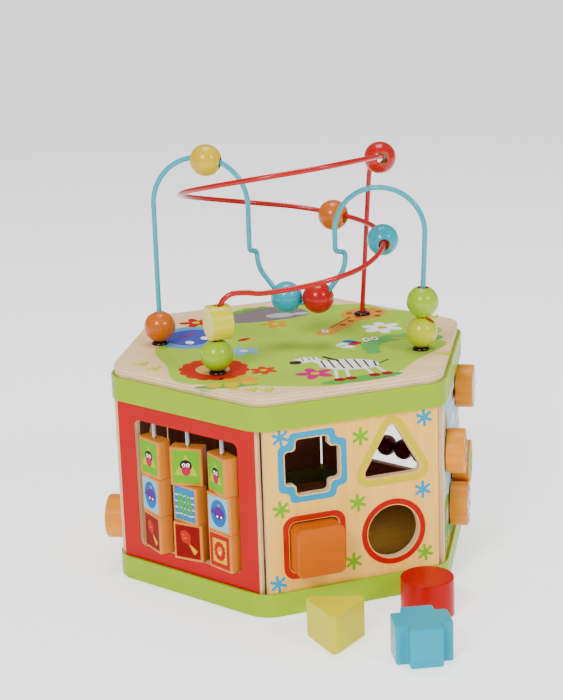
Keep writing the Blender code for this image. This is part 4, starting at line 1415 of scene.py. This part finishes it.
class ACTIVITY_OT_wires(bpy.types.Operator):
    """Builds the two bead wires and their grommets"""

    bl_idname = "activity.wires"
    bl_label = "Wires and grommets"

    def execute(self, context):
        s = sizes()
        nut_d, nut_t = 0.0076, 0.0012
        for label, path, slot in (("blue", blue_path(), "cyan_wire"),
                                  ("red", red_path(), "red_wire")):
            finish = coated(f"{label}_wire_coat", *tones(f"{label}_wire"), 0.24, 0.25,
                            0.00001)
            bm = tube(path, s.wire_d)
            for end in (path[0], path[-1]):
                add(bm, stick(nut_d, nut_t, 24, 0.0002), 1,
                    shift(end.x, end.y, end.z + nut_t / 2))
            piece(f"{label}_wire_tube", bm, [finish, steel()], f"{label}_wire", slot,
                  sharp=50)
        black = coated("grommet_plastic", *tones("grommet"), 0.2, 0.2)
        for name, at in FEET.items():
            bm = turned(self.grommet(s.wire_d / 2 + 0.0007), 40)
            bm.transform(shift(at.x, at.y, s.body_h))
            piece(f"foot_{name}", bm, [black], f"grommet_{name}", "black_plastic")
        return {"FINISHED"}

    def grommet(self, bore):
        """Half the section of a grommet, a tube under a domed rim."""
        low, seat, tube_r, rim = -0.0060, FIT, 0.0040, 0.00675
        top = seat + 0.0022
        return [(bore, low), (tube_r, low), (tube_r, seat), (rim, seat),
                (rim, seat + 0.0009), (rim - 0.0005, seat + 0.0016),
                (rim - 0.0015, top - 0.0001), (rim - 0.0024, top),
                (bore + 0.0006, top), (bore, top - 0.0004)]


BEADS = (
    ("bead_orange_leg", "blue", "orange"), ("bead_yellow_arch", "blue", "yellow"),
    ("bead_cyan_dip", "blue", "cyan"), ("bead_red_dip", "blue", "red"),
    ("bead_lime_leg", "blue", "yellow_green"), ("bead_green_leg", "blue", "green"),
    ("bead_red_coil", "red", "red"), ("bead_orange_coil", "red", "orange"),
    ("bead_cyan_coil", "red", "cyan"), ("bead_green_coil", "red", "green"),
)


class ACTIVITY_OT_beads(bpy.types.Operator):
    """Builds the ten round beads and the drum on the wires"""

    bl_idname = "activity.beads"
    bl_label = "Wire beads"

    def execute(self, context):
        s = sizes()
        paths = {"blue": blue_path(), "red": red_path()}
        for node, wire, tone in BEADS:
            lacquer = f"{tone}_lacquer"
            centre = middle(node)
            bm = bored_ball(s.bead_d, s.bore_d, 48)
            bm.transform(turned_to(direction_at(paths[wire], centre), centre))
            piece(node.replace("bead_", "ball_"), bm,
                  [coated(lacquer, *tones(tone)), bare_bore()], node, lacquer, sharp=60)
        self.drum()
        return {"FINISHED"}

    def drum(self):
        s = sizes()
        bm, bore = bmesh.new(), bmesh.new()
        bmesh.ops.create_cone(bm, cap_ends=True, segments=72, radius1=s.drum_d / 2,
                              radius2=s.drum_d / 2, depth=s.drum_l)
        rounded(bm, [e for e in bm.edges if is_level(e)], 0.0012, 4)
        bm.transform(Matrix.Rotation(math.pi / 2, 4, "Y"))
        bmesh.ops.create_cone(bore, cap_ends=True, segments=32, radius1=s.bore_d / 2,
                              radius2=s.bore_d / 2, depth=s.drum_d * 1.2)
        bm = carve(bm, bore)
        bm.transform(shift(*middle("drum_yellow_coil")))
        piece("drum_bead", bm, [coated("lemon_lacquer", *tones("lemon"))],
              "drum_yellow_coil", "yellow_lacquer", True)


class ACTIVITY_OT_stage(bpy.types.Operator):
    """Builds the floor, the lights and the camera"""

    bl_idname = "activity.stage"
    bl_label = "Stage"

    def execute(self, context):
        self.floor()
        self.daylight(context.scene)
        for name, place, size, power in (("left_softbox", (-1.3, -1.3, 1.5), 0.6, 38),
                                         ("right_softbox", (0.9, -1.7, 1.4), 0.5, 22),
                                         ("top_softbox", (0.1, 0.3, 1.9), 0.8, 20)):
            data = bpy.data.lights.new(name, "AREA")
            data.size, data.energy = size, power
            lamp = linked(name, data)
            lamp.location = place
            aim = Vector((0, -0.03, 0.13)) - Vector(place)
            lamp.rotation_euler = aim.to_track_quat("-Z", "Y").to_euler()
        self.camera(context.scene)
        return {"FINISHED"}

    def floor(self):
        bm = bmesh.new()
        bmesh.ops.create_grid(bm, x_segments=1, y_segments=1, size=12)
        mesh = bpy.data.meshes.new("floor")
        bm.to_mesh(mesh)
        bm.free()
        mat, tree, shader = new_finish("pale_floor", 0.6)
        plug(tree, shader, {"Base Color": (0.92, 0.92, 0.93, 1),
                            "Emission Color": (1, 1, 1, 1), "Emission Strength": 1.0})
        mesh.materials.append(mat)
        floor = linked("floor", mesh)
        floor.location.z = -0.0002

    def daylight(self, scene):
        scene.world = scene.world or bpy.data.worlds.new("studio")
        scene.world.use_nodes = True
        back = scene.world.node_tree.nodes["Background"]
        back.inputs["Color"].default_value = (1.0, 1.0, 1.0, 1)
        back.inputs["Strength"].default_value = 0.38

    def camera(self, scene):
        turn, rise, roll = (math.radians(a) for a in (-20.178, 16.465, -1.825))
        data = bpy.data.cameras.new("camera")
        data.sensor_width = 36.0
        data.lens = 100.87
        data.shift_x, data.shift_y = -0.0209, 0.0144
        camera = linked("camera", data)
        camera.location = (-0.51139, -1.40373, 0.59878)
        camera.rotation_mode = "QUATERNION"
        upright = Matrix.Rotation(turn, 3, "Z") @ Matrix.Rotation(math.pi / 2 - rise, 3, "X")
        camera.rotation_quaternion = (upright @ Matrix.Rotation(roll, 3, "Z")).to_quaternion()
        scene.camera = camera


STEPS = (
    ACTIVITY_OT_trims, ACTIVITY_OT_boards, ACTIVITY_OT_lid_print, ACTIVITY_OT_panels,
    ACTIVITY_OT_sorter_print, ACTIVITY_OT_track_prints, ACTIVITY_OT_picture_blocks,
    ACTIVITY_OT_loose_blocks, ACTIVITY_OT_discs, ACTIVITY_OT_abacus, ACTIVITY_OT_wires,
    ACTIVITY_OT_beads, ACTIVITY_OT_stage,
)


class ACTIVITY_PT_sidebar(bpy.types.Panel):
    """Lists the sizes, the colours and the steps"""

    bl_label = "Activity centre"
    bl_idname = "ACTIVITY_PT_sidebar"
    bl_space_type = "VIEW_3D"
    bl_region_type = "UI"
    bl_category = "Activity centre"

    def draw(self, context):
        for group in (context.scene.activity_sizes, context.scene.activity_colours):
            box = self.layout.box()
            for name in group.__annotations__:
                box.prop(group, name)
        for step in STEPS:
            self.layout.operator(step.bl_idname)


CLASSES = (ActivitySizes, ActivityColours, *STEPS, ACTIVITY_PT_sidebar)


def register():
    for cls in CLASSES:
        bpy.utils.register_class(cls)
    bpy.types.Scene.activity_sizes = bpy.props.PointerProperty(type=ActivitySizes)
    bpy.types.Scene.activity_colours = bpy.props.PointerProperty(type=ActivityColours)


def unregister():
    del bpy.types.Scene.activity_colours
    del bpy.types.Scene.activity_sizes
    for cls in reversed(CLASSES):
        bpy.utils.unregister_class(cls)


def main():
    register()
    for step in STEPS:
        group, name = step.bl_idname.split(".")
        getattr(getattr(bpy.ops, group), name)()


if __name__ == "__main__":
    main()
